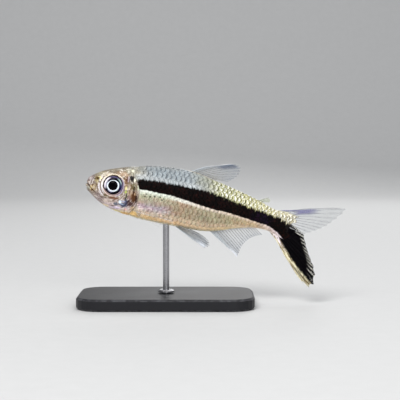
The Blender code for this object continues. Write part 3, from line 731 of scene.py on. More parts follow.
def numbers_along(value, stops):
    """A number that follows a reading through a table of stops, straight from each to the next."""
    places = list(stops)
    total = stops[places[0]]
    for low, high in zip(places, places[1:]):
        ends = {"Value": value, "From Min": low, "From Max": high, "To Max": stops[high] - stops[low]}
        rise = wired(value.tree, "ShaderNodeMapRange", ends, "Result")
        total = rise + total
    return total


def back_look(straight, over, shifted, mottle):
    """The back's colours: paler along the band, finely woven with dark, a cream ridge, a darker top."""
    along, side, _ = parts_of(straight)
    colour = colours_along(shifted, BACK_COLOURS)
    near_band = over.within(-0.5, 0.1, 0.6, 1.5) * along.within(11.0, 13.0, 27.0, 31.0)
    colour = blended(near_band * 0.65, colour, (208, 214, 216))
    weave = noise(straight, 1.0, roughness=0.7, stretch=(5.0, 2.0, 3.2))
    woven = blended(weave.step(0.36, 0.56), (96, 98, 96), (255, 255, 255))
    colour = blended(0.5, colour, woven, "MULTIPLY")
    ridge_line = (mottle * 1.2 + abs(side)).step(1.5, 0.8) * shifted.within(22.5, 26.0, 30.0, 35.0)
    colour = blended(ridge_line * 0.8, colour, (244, 226, 192))
    top = (over + mottle * 0.8).step(3.2, 4.4) * along.within(10.0, 12.0, 20.0, 25.0)
    return blended(top * 0.5, colour, (128, 124, 116))


def flank_look(straight, under, share, shifted, cloud, mottle):
    """The flank's colours, with the pale line over a green one, the lilac patch, and painted pearly
    highlights.
    """
    along, _, height = parts_of(straight)
    colour = colours_along(shifted, FLANK_COLOURS)
    ragged = (mottle - 0.5) * 0.9 + under
    line = (ragged - numbers_along(along, PALE_LINE_DEPTHS)).step(-0.25, 0.35)
    colour = blended(line, colours_along(along, PALE_LINE_COLOURS), colour)
    green = ragged.within(0.2, 0.9, 1.7, 2.8) * along.within(12.5, 14.5, 20.0, 24.0)
    colour = blended(green * 0.6, colour, (208, 210, 178))
    lilac = (cloud * 1.6 + height).within(-4.4, -3.2, -2.2, -1.0) * along.within(12.5, 14.0, 18.5, 23.0)
    colour = blended(lilac * 0.6, colour, (196, 176, 208))
    # Painted highlights: pearly white streaks over the lower front flank.
    pearly_highlight = noise(straight, 1.0, stretch=(0.7, 1.0, 3.4)).step(0.48, 0.62)
    pearly_highlight = pearly_highlight * along.within(12.0, 14.0, 20.0, 25.0) * share.within(0.4, 0.6, 0.8, 0.9)
    colour = blended(pearly_highlight * 0.85, colour, (255, 244, 252))
    low_flank = share.step(0.54, 0.74) * along.within(10.0, 11.5, 42.0, 47.0)
    colour = blended(low_flank * 0.66, colour, (255, 228, 198))
    hue = noise(straight, 0.8, detail=2.0).step(0.4, 0.6)
    tint = blended(hue, (255, 236, 226), (238, 248, 232))
    return blended(under.step(0.4, 1.4), colour, blended(0.55, colour, tint, "MULTIPLY"))


def band_look(along, cloud, mottle):
    """The black of the band, with a faint brown sheen, and a blue one on the tail stalk."""
    sheen = (mottle + cloud * 0.4).step(0.66, 0.95)
    blue = along.within(41.0, 43.0, 46.0, 48.0) * mottle.step(0.4, 0.7)
    return blended(blue * 0.5, blended(sheen * 0.45, BAND_BLACK, BAND_SHEEN), BAND_BLUE)


def markings_group():
    """The colours of the living fish by place, which part of them is black, and how bright it shines."""
    tree, given, result = new_group(
        "ShaderNodeTree", "tetra_markings",
        {"Straight": "Vector", "Band": "Vector", "Wobble": "Float"},
        {"Colour": "Color", "Black": "Float", "Bright": "Float"},
    )
    straight = given["Straight"]
    along, _, height = parts_of(straight)
    over, under, share = parts_of(given["Band"])
    cloud = noise(straight, 0.55)
    mottle = noise(straight, 2.6)
    strokes = noise(straight, 1.0, detail=2.0, stretch=(4.2, 0.6, 0.9))
    shifted = (cloud - 0.5) * 5.0 + along
    flank = flank_look(straight, under, share, shifted, cloud, mottle)
    belly = (cloud * 0.14 + share).step(0.85, 0.91)
    flank = blended(belly * 0.95, flank, colours_along(along, BELLY_COLOURS))
    # Painted light: the rim under the belly is made paler than its cream to stand in for light from below.
    flank = blended(share.step(0.92, 0.955) * 0.85, flank, LIT_BELLY_RIM)
    body = blended(over.step(-1.4, -0.9), flank, back_look(straight, over, shifted, mottle))

    # The belly keeps few of the darker mottles and strokes, as a plain pale belly does; this also keeps it
    # bright in the shade under the fish.
    calm = belly * -0.95 + 1.0
    dappled = blended(mottle.step(0.35, 0.7), (150, 146, 144), (255, 255, 255))
    body = blended(calm * 0.24, body, dappled, "MULTIPLY")
    stroke = blended(strokes.step(0.36, 0.6), (150, 148, 150), (255, 255, 255))
    body = blended(along.step(11.0, 13.0) * calm * 0.45, body, stroke, "MULTIPLY")

    spikes = noise(straight, 1.0, roughness=0.7, stretch=(5.0, 0.5, 0.6)) - 0.5
    feathers = along.step(27.0, 33.0) * 1.3 + 1.9
    top_edge = over + spikes * feathers + given["Wobble"] * 0.14
    low_edge = under + spikes * 0.5 + given["Wobble"] * 0.12
    past_start = (along - abs(height - 2.2) * 0.35 + 0.3).step(12.3, 12.9)
    in_band = top_edge.step(0.16, -0.16) * low_edge.step(0.1, -0.1) * past_start
    feed(result["Colour"], blended(in_band, body, band_look(along, cloud, mottle)))
    feed(result["Black"], in_band)
    feed(result["Bright"], (1.0 - in_band) * cloud)
    return tree


markings = markings_group()


def marked(tree, wobble=0.0):
    """The markings at a piece's own places: colour, black and shine."""
    places = {"Straight": own_attribute(tree, "straight"), "Band": own_attribute(tree, "band")}
    return grouped(tree, markings, {**places, "Wobble": wobble})


# The head: its colours by height, its patches, each by its place and reach along and up the fish, its
# colour and its strength, and the crescents round each eye, by their reach and the way they face.
HEAD_COLOURS = {
    -6.5: (246, 210, 148), -5.2: (236, 212, 178), -4.0: (212, 194, 196), -1.5: (170, 154, 144),
    1.5: (148, 136, 120), 3.6: (140, 130, 114), 5.0: (136, 128, 112), 6.5: (122, 118, 106),
}
HEAD_PATCHES = {
    "mauve snout": (1.2, 1.6, 1.5, 1.3, (142, 128, 128), 0.85),
    "pale snout tip": (0.7, 2.1, 0.7, 0.4, (200, 190, 192), 0.6),
    "olive before the eye": (2.8, 2.0, 1.0, 1.0, (188, 174, 118), 0.8),
    "brown at the nostrils": (2.7, 2.25, 0.5, 0.35, (112, 88, 52), 0.7),
    "olive brow": (3.4, 3.6, 1.6, 0.6, (176, 170, 146), 0.7),
    "cream brow": (5.0, 3.75, 1.3, 0.4, (238, 226, 208), 0.6),
    "gold upper jaw": (1.8, -0.1, 0.8, 1.0, (192, 170, 126), 0.7),
    "brown on the jaw": (1.65, -0.65, 0.45, 0.28, (132, 96, 58), 0.75),
    "brown at the lip": (1.45, 0.45, 0.3, 0.22, (110, 84, 54), 0.7),
    "green chin": (0.5, -0.4, 0.6, 0.5, (190, 194, 180), 0.6),
    "mauve cheek": (3.6, -2.0, 1.1, 1.1, (160, 144, 148), 0.7),
    "olive under the eye": (5.0, -1.75, 1.1, 0.5, (118, 100, 70), 0.75),
    "brown under the eye": (7.3, -1.95, 1.5, 0.5, (128, 94, 72), 0.85),
    "cream cheek": (5.7, -2.9, 1.4, 0.6, (226, 208, 194), 0.6),
    "rose cheek": (6.0, -3.7, 1.5, 0.5, (226, 204, 206), 0.6),
    "lilac jaw angle": (7.6, -4.35, 1.7, 0.45, (232, 214, 236), 0.75),
    "cream throat": (7.6, -5.15, 2.6, 0.4, (234, 222, 192), 0.7),
    "orange breast": (11.8, -5.6, 3.6, 0.5, (234, 182, 112), 0.95),
    "brown behind the eye": (9.8, 2.4, 0.75, 1.5, (150, 116, 82), 0.85),
    "tan crown": (8.9, 4.3, 1.9, 0.7, (160, 130, 100), 0.7),
    "grey nape": (11.8, 6.2, 1.9, 1.5, (160, 162, 156), 0.85),
    "olive nape": (10.8, 5.0, 1.4, 1.0, (176, 176, 158), 0.75),
    "pale nape spot": (11.0, 5.3, 0.42, 0.36, (226, 224, 198), 0.8),
    "pale bar": (10.85, 0.3, 0.36, 1.7, (232, 206, 176), 0.75),
    "olive cover": (11.85, 1.35, 0.8, 1.0, (112, 104, 66), 0.9),
    "brown cover": (12.2, -1.1, 0.8, 1.8, (116, 76, 40), 1.0),
    "plum on the cover": (11.1, -1.5, 0.5, 0.9, (136, 104, 112), 0.8),
    "tan cover": (12.3, -3.9, 0.8, 0.7, (206, 178, 140), 0.85),
}
HEAD_SPOTS = {
    "brown at the nostrils": (2.55, 2.35, 0.42, 0.3, (92, 70, 34), 0.9),
    "yellow before the nostrils": (3.3, 2.5, 0.4, 0.36, (214, 204, 138), 0.65),
    "dark before the eye": (3.1, 1.5, 0.28, 0.24, (84, 66, 36), 0.8),
    "gold on the jaw": (1.3, -0.2, 0.3, 0.6, (214, 192, 136), 0.6),
    "brown on the jaw": (1.7, -0.7, 0.42, 0.22, (96, 62, 30), 0.9),
    "brown at the lip": (1.5, 0.45, 0.28, 0.18, (88, 62, 34), 0.85),
    "brown over the jaw": (2.5, 0.7, 0.22, 0.3, (104, 78, 46), 0.75),
    "steel patch": (9.7, -3.3, 1.25, 0.62, (62, 72, 96), 0.95),
    "steel behind": (10.5, -2.6, 0.62, 0.85, (62, 64, 88), 0.95),
    "steel before it": (7.9, -3.3, 0.6, 0.4, (92, 100, 114), 0.85),
    "glint on the cheek": (8.95, -2.75, 0.42, 0.4, (226, 238, 248), 1.0),
    "glint on the steel": (9.8, -2.5, 0.5, 0.2, (150, 158, 194), 0.85),
    "second glint": (9.5, -3.2, 0.5, 0.16, (176, 188, 214), 0.8),
    "white under the steel": (8.2, -4.1, 0.3, 0.24, (250, 244, 252), 0.9),
    "coral spot": (10.5, -4.35, 0.42, 0.22, (248, 190, 184), 0.95),
    "olive under the eye": (4.9, -1.6, 0.6, 0.28, (96, 78, 48), 0.85),
    "red brown under the eye": (7.4, -2.0, 0.95, 0.28, (122, 82, 64), 0.85),
    "tan behind the brow": (9.2, 4.1, 0.9, 0.5, (146, 116, 84), 0.5),
    "dark over the cheek": (10.3, 4.4, 0.4, 0.22, (92, 66, 44), 0.7),
    "orange throat": (10.2, -5.7, 2.4, 0.55, (255, 206, 132), 1.0),
    "yellow throat edge": (7.6, -5.3, 1.8, 0.36, (255, 238, 166), 0.95),
    "cream chin edge": (4.7, -4.15, 1.7, 0.36, (250, 230, 196), 0.85),
    "lilac under the steel": (8.4, -4.2, 0.8, 0.22, (240, 222, 248), 0.8),
    "cream line": (10.05, 0.85, 0.3, 0.5, (232, 220, 160), 0.95),
    "lime spot": (10.05, -0.05, 0.26, 0.34, (176, 186, 96), 0.95),
    "olive line": (10.3, -1.0, 0.2, 0.7, (52, 56, 36), 0.9),
    "mauve line": (10.3, 3.2, 0.2, 0.75, (206, 188, 196), 0.8),
    "russet spot": (9.9, 3.0, 0.3, 0.6, (84, 48, 36), 0.85),
    "brown behind the lime": (11.1, 0.5, 0.22, 1.3, (108, 76, 44), 0.7),
    "dark stripe on the cover": (12.0, 0.4, 0.22, 1.2, (44, 32, 20), 0.85),
    "tan on the cover": (11.5, -0.3, 0.3, 1.1, (176, 142, 104), 0.5),
    "umber on the cover": (12.2, -1.4, 0.62, 1.5, (78, 46, 22), 0.9),
    "glints on the cover": (12.35, -0.3, 0.16, 0.3, (196, 166, 132), 0.7),
    "umber margin": (12.8, -1.4, 0.26, 1.3, (44, 24, 16), 0.9),
    "maroon cover": (11.5, -2.8, 0.8, 0.75, (62, 34, 32), 0.95),
    "pale rear margin": (13.1, 1.6, 0.26, 1.2, (214, 218, 190), 0.95),
    "black spot": (11.15, 3.4, 0.66, 0.66, (8, 5, 5), 1.0),
    "black under the spot": (11.3, 2.75, 0.3, 0.4, (30, 20, 14), 0.8),
    "cream behind the spot": (11.95, 3.3, 0.26, 0.8, (240, 238, 218), 0.9),
    "pale nape spot": (11.2, 5.3, 0.4, 0.3, (236, 234, 208), 0.8),
}
EYE_CRESCENTS = {
    "white before the eye": (2.66, 3.06, 184, 0.62, (255, 252, 255), 1.0),
    "dark behind the white": (3.14, 3.36, 186, 0.55, (104, 84, 76), 0.75),
    "second pale line": (3.44, 3.8, 192, 0.6, (236, 228, 232), 0.85),
    # Painted shade in the groove over and before the eye, where the socket's rim meets it.
    "shade in the groove round the eye": (2.38, 2.58, 124, -0.1, (30, 20, 22), 0.95),
    "cream over the eye": (2.7, 2.96, 104, 0.1, (240, 222, 196), 0.75),
    "pink under the eye": (2.4, 2.66, 278, 0.1, (236, 206, 196), 0.85),
    "lilac behind the eye": (2.4, 2.8, 352, 0.35, (176, 164, 190), 0.85),
    "dark before the lower lid": (2.74, 2.92, 236, 0.6, (110, 86, 62), 0.6),
}


def patched(colour, along, height, drift, patches):
    """Lays soft round patches over a colour, each with its outline made ragged by the drift."""
    for x, z, reach, rise, tint, strength in patches.values():
        off_x = (along - x) / reach
        off_z = (height - z) / rise
        distance = (off_x * off_x + off_z * off_z).work("SQRT") + drift
        colour = blended(distance.step(1.25, 0.6) * strength, colour, tint)
    return colour


def eye_streak_group():
    """A soft streak round an eye: between two distances from its middle, on the side that it faces."""
    numbers = ("Inner", "Outer", "Tailward", "Upward", "Spread", "Drift")
    tree, given, result = new_group(
        "ShaderNodeTree", "eye_streak",
        {"Place": "Vector", **{number: "Float" for number in numbers}},
        {"Mask": "Float"},
    )
    x, y, distance = parts_of(given["Place"])
    inner = given["Inner"]
    outer = given["Outer"]
    soft = (outer - inner) * 0.35
    band = (given["Drift"] * 0.22 + distance).within(inner - soft, inner + soft, outer - soft, outer + soft)
    turned = y * given["Upward"] + x * given["Tailward"]
    cosine = turned / distance.work("MAXIMUM", 0.01)
    feed(result["Mask"], band * cosine.step(given["Spread"], given["Spread"] + 0.35))
    return tree


eye_streak = eye_streak_group()


def streaked(colour, place, drift, streaks):
    """Lays streaks round an eye over a colour, from the first to the last."""
    for inner, outer, facing, spread, tint, strength in streaks.values():
        values = {"Place": place, "Inner": inner, "Outer": outer, "Spread": spread, "Drift": drift}
        values["Tailward"] = math.cos(math.radians(facing))
        values["Upward"] = math.sin(math.radians(facing))
        (mask,) = grouped(place.tree, eye_streak, values)
        colour = blended(mask * strength, colour, tint)
    return colour


def joined(x, y, z):
    return wired(x.tree, "ShaderNodeCombineXYZ", {"X": x, "Y": y, "Z": z}, "Vector")


def specks_of(place, scale, middle, rim):
    """Scattered round specks, soft from their middle to their rim."""
    settings = {"Vector": place, "Scale": scale}
    return wired(place.tree, "ShaderNodeTexVoronoi", settings, "Distance").step(rim, middle)


def arc_noise(place):
    """Noise drawn out into fine arcs round an eye, as the bones and the silver of the face lie."""
    x, y, distance = parts_of(place)
    safe = distance.work("MAXIMUM", 0.2)
    return noise(joined(x / safe * 4.4, y / safe * 4.4, distance * 3.2), 1.0, roughness=0.6)


def skin_finish():
    """Wet skin over the bones of the head. Behind the gill covers only slits of it show."""
    finish, tree, shader = new_finish("tetra_skin")
    body, _, _ = marked(tree)
    straight = own_attribute(tree, "straight")
    along, side, height = parts_of(straight)
    cloud = noise(straight, 0.9)
    mottle = noise(straight, 3.2, detail=4.0, roughness=0.6)
    fine = noise(straight, 9.0, detail=2.0)
    drift = (mottle - 0.5) * 1.3
    head = patched(colours_along(height, HEAD_COLOURS), along, height, drift, HEAD_PATCHES)
    eye_off = own_attribute(tree, "eye_off")
    light = blended(mottle.step(0.38, 0.66), (128, 112, 98), (255, 255, 255))
    # The throat keeps fewer of the darker mottles and arcs: a plainer colour of its own, and painted light
    # that keeps it bright in the shade under the head.
    calm = height.step(-3.9, -5.0) * -0.75 + 1.0
    head = blended(calm * 0.5, head, light, "MULTIPLY")
    arcs = arc_noise(eye_off)
    face = abs(side).step(0.8, 1.7)
    bright = arcs.step(0.54, 0.68) * face * (along.step(12.2, 10.6) * 0.4 + 0.3)
    head = blended(bright, head, (255, 248, 238))
    dim = arcs.step(0.47, 0.34) * (face * 0.6 + 0.4) * calm
    head = blended(dim * 0.78, head, (84, 62, 44))
    gold = fine.step(0.56, 0.7) * cloud.step(0.4, 0.62)
    head = blended(gold * 0.35, head, (222, 190, 120))
    dots = specks_of(straight, 2.6, 0.12, 0.3) * cloud.step(0.42, 0.56) * height.step(-2.6, 0.4)
    head = blended(dots * 0.7, head, (66, 48, 34))
    flecks = noise(straight, 3.6, detail=2.0).step(0.6, 0.68)
    head = blended(flecks * 0.55, head, (250, 244, 226))
    head = streaked(head, eye_off, drift * 2.2, EYE_CRESCENTS)
    streaky = (arcs - 0.5) * 1.8 + drift
    head = patched(head, along, height, streaky, HEAD_SPOTS)
    colour = blended(own_attribute(tree, "scaled", "Fac"), head, body)
    # Painted shade: the creases, seams, pores and openings of the head are darkened.
    colour = blended(own_attribute(tree, "crease", "Fac") * 0.5, colour, (46, 32, 28))
    dress(
        shader,
        {
            "Base Color": colour,
            "Metallic": mottle.step(0.35, 0.7) * 0.25,
            "Specular IOR Level": 0.1,
            "Roughness": fine * 0.26 + 0.24,
            "Coat Weight": cloud * 0.2 + 0.04,
            "Coat Roughness": 0.14,
            "Normal": bumped(fine * 0.35 + mottle, 0.05, 0.55),
        },
    )
    return finish


skin = build_skin(skin_finish())
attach(skin, "root")
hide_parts("head", "lower_jaw", "trunk", "tail_stalk", "gill_cover_left", "gill_cover_right")


# The scales: thin overlapping plates of clear bone, silvered underneath, that grow back from the gill
# opening in slanting rows to the tail fin's root. One row of narrow ones rides on the back and belly.
SCALE_ROW = 1.5
SCALE_STEP = 1.17
SCALE_OVERLAP = 1.9
SCALE_SPREAD = 1.42
SCALE_SLOPE = 0.45
SCALE_GIRTH = 34.0
SCALE_LENGTH_POINTS = 7
SCALE_WIDTH_POINTS = 8
SCALE_END = 51.4
SCALE_SEED = 11
CHART_START = 8.0
CHART_LENGTH = 50.0
CHART_TURN = 40.0
CHART_LAP = 0.1
CHART_END = 54.0
CHART_PLACES = 185
CHART_LAPS = 261
ROUND_TURNS = 721
FLANK_TURN = 180
BAKE_PATCH = 0.003
BACK_FIN_ROOTS = ((24.6, 31.6), (42.2, 44.0))
ANAL_FIN_ROOT = (32.0, 44.2)
ROWS_EACH_WAY = 9

chart_places = np.linspace(CHART_START, CHART_END, CHART_PLACES)
round_turns = -math.pi / 2 - np.linspace(0.0, 2 * math.pi, ROUND_TURNS)
round_points = skin_surface(chart_places[:, None], round_turns[None, :])
round_steps = np.linalg.norm(np.diff(round_points, axis=1), axis=-1)
round_lengths = np.concatenate([np.zeros((len(chart_places), 1)), np.cumsum(round_steps, axis=1)], axis=1)
girths = round_lengths[:, -1]
flank_shares = round_lengths[:, FLANK_TURN] / girths


def girth_at(along):
    return np.interp(along, chart_places, girths)


def scale_width_at(along):
    return SCALE_ROW * (girth_at(along) / SCALE_GIRTH) ** SCALE_SLOPE


def turn_at_share(along, share):
    """The turn at a share of the way round the fish, from the belly up the left side and down the right."""
    wrapped = share % 1.0
    index = int(np.clip(np.searchsorted(chart_places, along), 0, len(chart_places) - 1))
    lengths = round_lengths[index] / girths[index]
    return np.interp(wrapped, lengths, round_turns) - 2 * math.pi * math.floor(share)


def scale_roots():
    """Where each scale is rooted: place along, share of the way round, step to the next one, width."""
    roots = []
    columns = [CHART_START + 2.0]
    while columns[-1] < SCALE_END:
        columns.append(columns[-1] + SCALE_STEP * (float(girth_at(columns[-1])) / SCALE_GIRTH) ** 0.25)
    for start, end in zip(columns, columns[1:]):
        for row in range(-ROWS_EACH_WAY, ROWS_EACH_WAY + 1):
            along = start if row % 2 == 0 else (start + end) / 2
            width = float(scale_width_at(along))
            row_share = width / float(girth_at(along))
            share = float(np.interp(along, chart_places, flank_shares)) + row * row_share
            if start > SCALE_END - SCALE_STEP and abs(row) < 2:
                continue
            if 0.35 * row_share <= share <= 0.5 - 0.35 * row_share:
                roots.append((along, share, end - start, width))
                roots.append((along, 1 - share, end - start, width))
        width = float(scale_width_at(start)) * 0.9
        roots.append((start, 0.5, end - start, width))
        roots.append(((start + end) / 2, 0.0, end - start, width))
    kept = []
    for along, share, step, width in roots:
        point = skin_surface(along, turn_at_share(along, share))
        if along < float(scales_start(point[2])) - 0.35 or along > SCALE_END:
            continue
        if share == 0.5 and any(low < along < high for low, high in BACK_FIN_ROOTS):
            continue
        if share == 0.0 and ANAL_FIN_ROOT[0] < along < ANAL_FIN_ROOT[1]:
            continue
        kept.append((along, share, step, width))
    return kept


def chart_place(along, share):
    """A place's run and lap in the flat chart, both from 0 to 1. Numbers, arrays and readings all do."""
    return (along - CHART_START) / CHART_LENGTH, (share + CHART_LAP) / (1 + 2 * CHART_LAP)


def grid_faces(rows, columns, first=0):
    corners = [first + i * columns + j for i in range(rows - 1) for j in range(columns - 1)]
    return [(a, a + columns, a + columns + 1, a + 1) for a in corners]


def sheet_faces(rows, columns):
    """Faces of a closed sheet: a grid of points, the same again under it, and the rim between them."""
    half = rows * columns
    faces = grid_faces(rows, columns)
    faces += [(a, d, c, b) for a, b, c, d in grid_faces(rows, columns, half)]
    rim = [*range(columns), *range(2 * columns - 1, half, columns)]
    rim += [*range(half - 2, half - columns - 1, -1), *range(half - 2 * columns, 0, -columns)]
    return faces + [(a, b, half + b, half + a) for a, b in zip(rim, rim[1:] + rim[:1])]


def build_scale_template():
    """One thin plate, its root at the origin, one long and one wide, its heights in millimetres."""
    points = []
    places = []
    for layer in (0, 1):
        for out in np.arange(SCALE_LENGTH_POINTS) / (SCALE_LENGTH_POINTS - 1):
            for across in 2 * np.arange(SCALE_WIDTH_POINTS) / (SCALE_WIDTH_POINTS - 1) - 1:
                length = 1 - 0.4 * across**2
                x = 0.1 * across**2 * (1 - out) + out * length
                y = 0.5 * across * (0.8 + 0.2 * math.sin(math.pi * min(out * 0.8 + 0.1, 1.0)))
                top = -0.13 + 0.105 * out**0.85 - 0.035 * across**2 * (0.4 + 0.6 * out)
                thick = 0.055 - 0.02 * out
                if out == 1:
                    top -= 0.012
                    thick = 0.02
                points.append((x, y, top - thick * layer))
                places.append((out, across, layer))
    template = new_piece("scale_template", points, sheet_faces(SCALE_LENGTH_POINTS, SCALE_WIDTH_POINTS))
    mark_points(template, "scale_place", places)
    return template


def build_scale_bed():
    """The smooth surface that the scales follow, with its chart as a UV map: along by way round."""
    laps = np.linspace(-CHART_LAP + 0.01, 1 + CHART_LAP - 0.01, CHART_LAPS)
    rounds = zip(round_lengths, girths)
    turns = np.array([np.interp(laps % 1.0, lengths / girth, round_turns) for lengths, girth in rounds])
    along = np.repeat(chart_places[:, None], CHART_LAPS, axis=1)
    points = skin_surface(along, turns).reshape(-1, 3)
    bed = new_piece("scale_bed", posed(points), grid_faces(CHART_PLACES, CHART_LAPS))
    mark_points(bed, "straight", points)
    mark_points(bed, "band", band_places(points))
    mark_points(bed, "outward", swung(skin_outward(along, turns), along).reshape(-1, 3))
    chart = np.stack(chart_place(along, laps + along * 0), axis=-1).reshape(-1, 2)
    corners = np.zeros(len(bed.data.loops), dtype=np.int32)
    bed.data.loops.foreach_get("vertex_index", corners)
    bed.data.uv_layers.new(name="chart").data.foreach_set("uv", chart[corners].ravel())
    return bed


def field(tree, name, kind="FLOAT_VECTOR"):
    return wired(tree, "GeometryNodeInputNamedAttribute", {"Name": name}, "Attribute", data_type=kind)


def vectors(operation, first, second):
    """A vector sum. A scale takes one number."""
    inputs = {0: first, "Scale" if operation == "SCALE" else 1: second}
    return wired(first.tree, "ShaderNodeVectorMath", inputs, "Vector", operation=operation)


def stored(geometry, name, value, kind="FLOAT_VECTOR", domain="POINT"):
    inputs = {"Geometry": geometry, "Name": name, "Value": value}
    node = "GeometryNodeStoreNamedAttribute"
    return wired(geometry.tree, node, inputs, "Geometry", data_type=kind, domain=domain)


def scale_coat_tree():
    """Sets a plate on each root in the flat chart, then lays the whole chart on the fish."""
    tree, given, result = new_group(
        "GeometryNodeTree", "scale_coat",
        {
            "Roots": "Geometry", "Plate": "Object", "Bed": "Object", "Finish": "Material",
            "Millimetre": "Float", "Patch": "Float",
        },
        {"Coat": "Geometry"},
    )
    tree.is_modifier = True
    plate = wired(tree, "GeometryNodeObjectInfo", {"Object": given["Plate"]}, "Geometry")
    bed = wired(tree, "GeometryNodeObjectInfo", {"Object": given["Bed"]}, "Geometry")
    lean = wired(tree, "FunctionNodeEulerToRotation", {0: field(tree, "lean")}, 0)
    spots = {"Points": given["Roots"], "Instance": plate, "Rotation": lean, "Scale": field(tree, "size")}
    coat = wired(tree, "GeometryNodeInstanceOnPoints", spots, "Instances")
    coat = wired(tree, "GeometryNodeRealizeInstances", {"Geometry": coat}, "Geometry")
    here = wired(tree, "GeometryNodeInputPosition", {}, "Position")
    x, y, z = parts_of(here)
    chart = joined(*chart_place(x, y / CHART_TURN), 0.0)
    sampled = []
    for value in (here, field(tree, "outward"), field(tree, "straight"), field(tree, "band")):
        looked_up = {"Mesh": bed, "Value": value, "UV Map": field(tree, "chart"), "Sample UV": chart}
        kind = "FLOAT_VECTOR"
        sampled.append(wired(tree, "GeometryNodeSampleUVSurface", looked_up, "Value", data_type=kind))
    place, outward, straight, band = sampled
    coat = stored(stored(coat, "straight", straight), "band", band)
    place = vectors("ADD", place, vectors("SCALE", outward, z * given["Millimetre"]))
    coat = wired(tree, "GeometryNodeSetPosition", {"Geometry": coat, "Position": place}, "Geometry")
    patch = vectors("SCALE", field(tree, "scale_place"), given["Patch"])
    patch = vectors("ADD", field(tree, "root_chart"), patch)
    coat = stored(coat, "OFBake", patch, "FLOAT2", "CORNER")
    dressed = {"Geometry": coat, "Material": given["Finish"]}
    feed(result["Coat"], wired(tree, "GeometryNodeSetMaterial", dressed, "Geometry"))
    return tree


def run_nodes(piece, tree, values):
    """Runs a geometry tree on a piece with its inputs by name, and keeps the result as a plain mesh."""
    modifier = piece.modifiers.new(tree.name, "NODES")
    modifier.node_group = tree
    for item in tree.interface.items_tree:
        if item.item_type == "SOCKET" and item.in_out == "INPUT" and item.name in values:
            modifier[item.identifier] = values[item.name]
    graph = bpy.context.evaluated_depsgraph_get()
    mesh = bpy.data.meshes.new_from_object(piece.evaluated_get(graph))
    piece.modifiers.clear()
    piece.data = mesh
    mesh.name = piece.name
    mesh.shade_smooth()
    return piece


def scale_finish():
    """Clear silvered plates: fine growth rings, a thin dark free edge on the back, a pearly sheen."""
    finish, tree, shader = new_finish("tetra_scales")
    tone = own_attribute(tree, "tone", "Fac")
    out, across, _ = parts_of(own_attribute(tree, "scale_place"))
    straight = own_attribute(tree, "straight")
    along, _, _ = parts_of(straight)
    over, under, share = parts_of(own_attribute(tree, "band"))
    body, black, bright = marked(tree, tone - 0.5 + (out - 0.75) * 1.6)
    mottle = noise(straight, 4.5)
    edge = (out - abs(across) * 0.05).step(0.84, 0.99)
    on_back = over.step(-0.1, 0.3)
    rear_back = on_back * along.step(29.0, 34.0)
    rows = out.within(0.56, 0.6, 0.66, 0.71).work("MAXIMUM", out.step(0.86, 0.92))
    dash = rows * mottle.step(0.43, 0.51)
    dark = (edge * (on_back * 0.16 + 0.07) + dash * rear_back) * (1.0 - black)
    colour = blended(tone.step(0.0, 1.0), (206, 202, 202), (255, 255, 255))
    colour = blended(0.35, body, colour, "MULTIPLY")
    lit = out.within(0.5, 0.64, 0.78, 0.9) * mottle.step(0.6, 0.42) * (1.0 - black)
    shine = rear_back * 0.8 + 0.12
    colour = blended(lit * shine, colour, (255, 255, 246))
    colour = blended(dark, colour, (36, 30, 16))
    dots = specks_of(straight, 3.0, 0.16, 0.32)
    blots = specks_of(straight, 1.25, 0.2, 0.4) * under.within(0.6, 0.85, 1.5, 2.1)
    blots = blots * along.within(13.8, 14.8, 19.0, 20.5)
    spotted = under.within(0.5, 1.0, 1.8, 2.6) * along.within(13.0, 15.0, 20.0, 23.0)
    flank_part = under.step(0.9, 1.6) * share.step(0.95, 0.7)
    dotted = flank_part * 0.22 + spotted * 0.62 + on_back * 0.22
    colour = blended(dots * dotted, colour, (64, 54, 40))
    colour = blended(blots * 0.9, colour, (62, 70, 52))
    from_root = (out * out + across * across * 0.25).work("SQRT")
    rings = (from_root * 70.0).work("SINE")
    dress(
        shader,
        {
            "Base Color": colour,
            "Metallic": (1.0 - black) * mottle.step(0.3, 0.7) * 0.22,
            "Roughness": black * 0.16 + mottle * 0.2 + 0.26,
            "Specular IOR Level": 0.05,
            "Coat Weight": bright * 0.3,
            "Coat Roughness": 0.18,
            "Normal": bumped(rings * 0.3 + mottle, 0.02, 0.5),
        },
    )
    return finish


def build_scales():
    rng = np.random.default_rng(SCALE_SEED)
    along, share, step, width = np.array(scale_roots()).T
    count = len(along)
    coat = new_piece("scales", np.stack([along, share * CHART_TURN, along * 0], axis=-1), [])
    length = step * SCALE_OVERLAP * rng.uniform(0.95, 1.06, count)
    spread = width * SCALE_SPREAD * rng.uniform(0.96, 1.06, count)
    size = np.stack([length, spread / girth_at(along) * CHART_TURN, along * 0 + 1], axis=-1)
    lean = np.stack([along * 0, rng.normal(0, 0.004, count), rng.normal(0, 0.04, count)], axis=-1)
    mark_points(coat, "size", size)
    mark_points(coat, "lean", lean)
    mark_points(coat, "tone", rng.uniform(0.0, 1.0, count))
    mark_points(coat, "root_chart", np.stack([*chart_place(along, share), along * 0], axis=-1))
    plate = build_scale_template()
    bed = build_scale_bed()
    values = {"Plate": plate, "Bed": bed, "Finish": scale_finish(), "Millimetre": MM, "Patch": BAKE_PATCH}
    run_nodes(coat, scale_coat_tree(), values)
    bpy.data.objects.remove(plate)
    bpy.data.objects.remove(bed)
    return coat


scales = build_scales()
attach(scales, "root")
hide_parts("trunk", "tail_stalk")


# The eyes: large, flat and round, set close under the skin. A black lens stands out of a white ring,
# and the iris round it is nearly black, with violet, pale and teal streaks, under a wet clear cornea.
EYE_RADIUS = 2.42
PUPIL_RADIUS = 1.22
EYE_DEPTH = 1.5
EYE_FRONT = 0.3
EYE_EDGE = -0.22
PUPIL_RISE = 0.16
EYE_SIDES = 96
EYE_BACK_RINGS = 9
EYE_FRONT_RINGS = 40


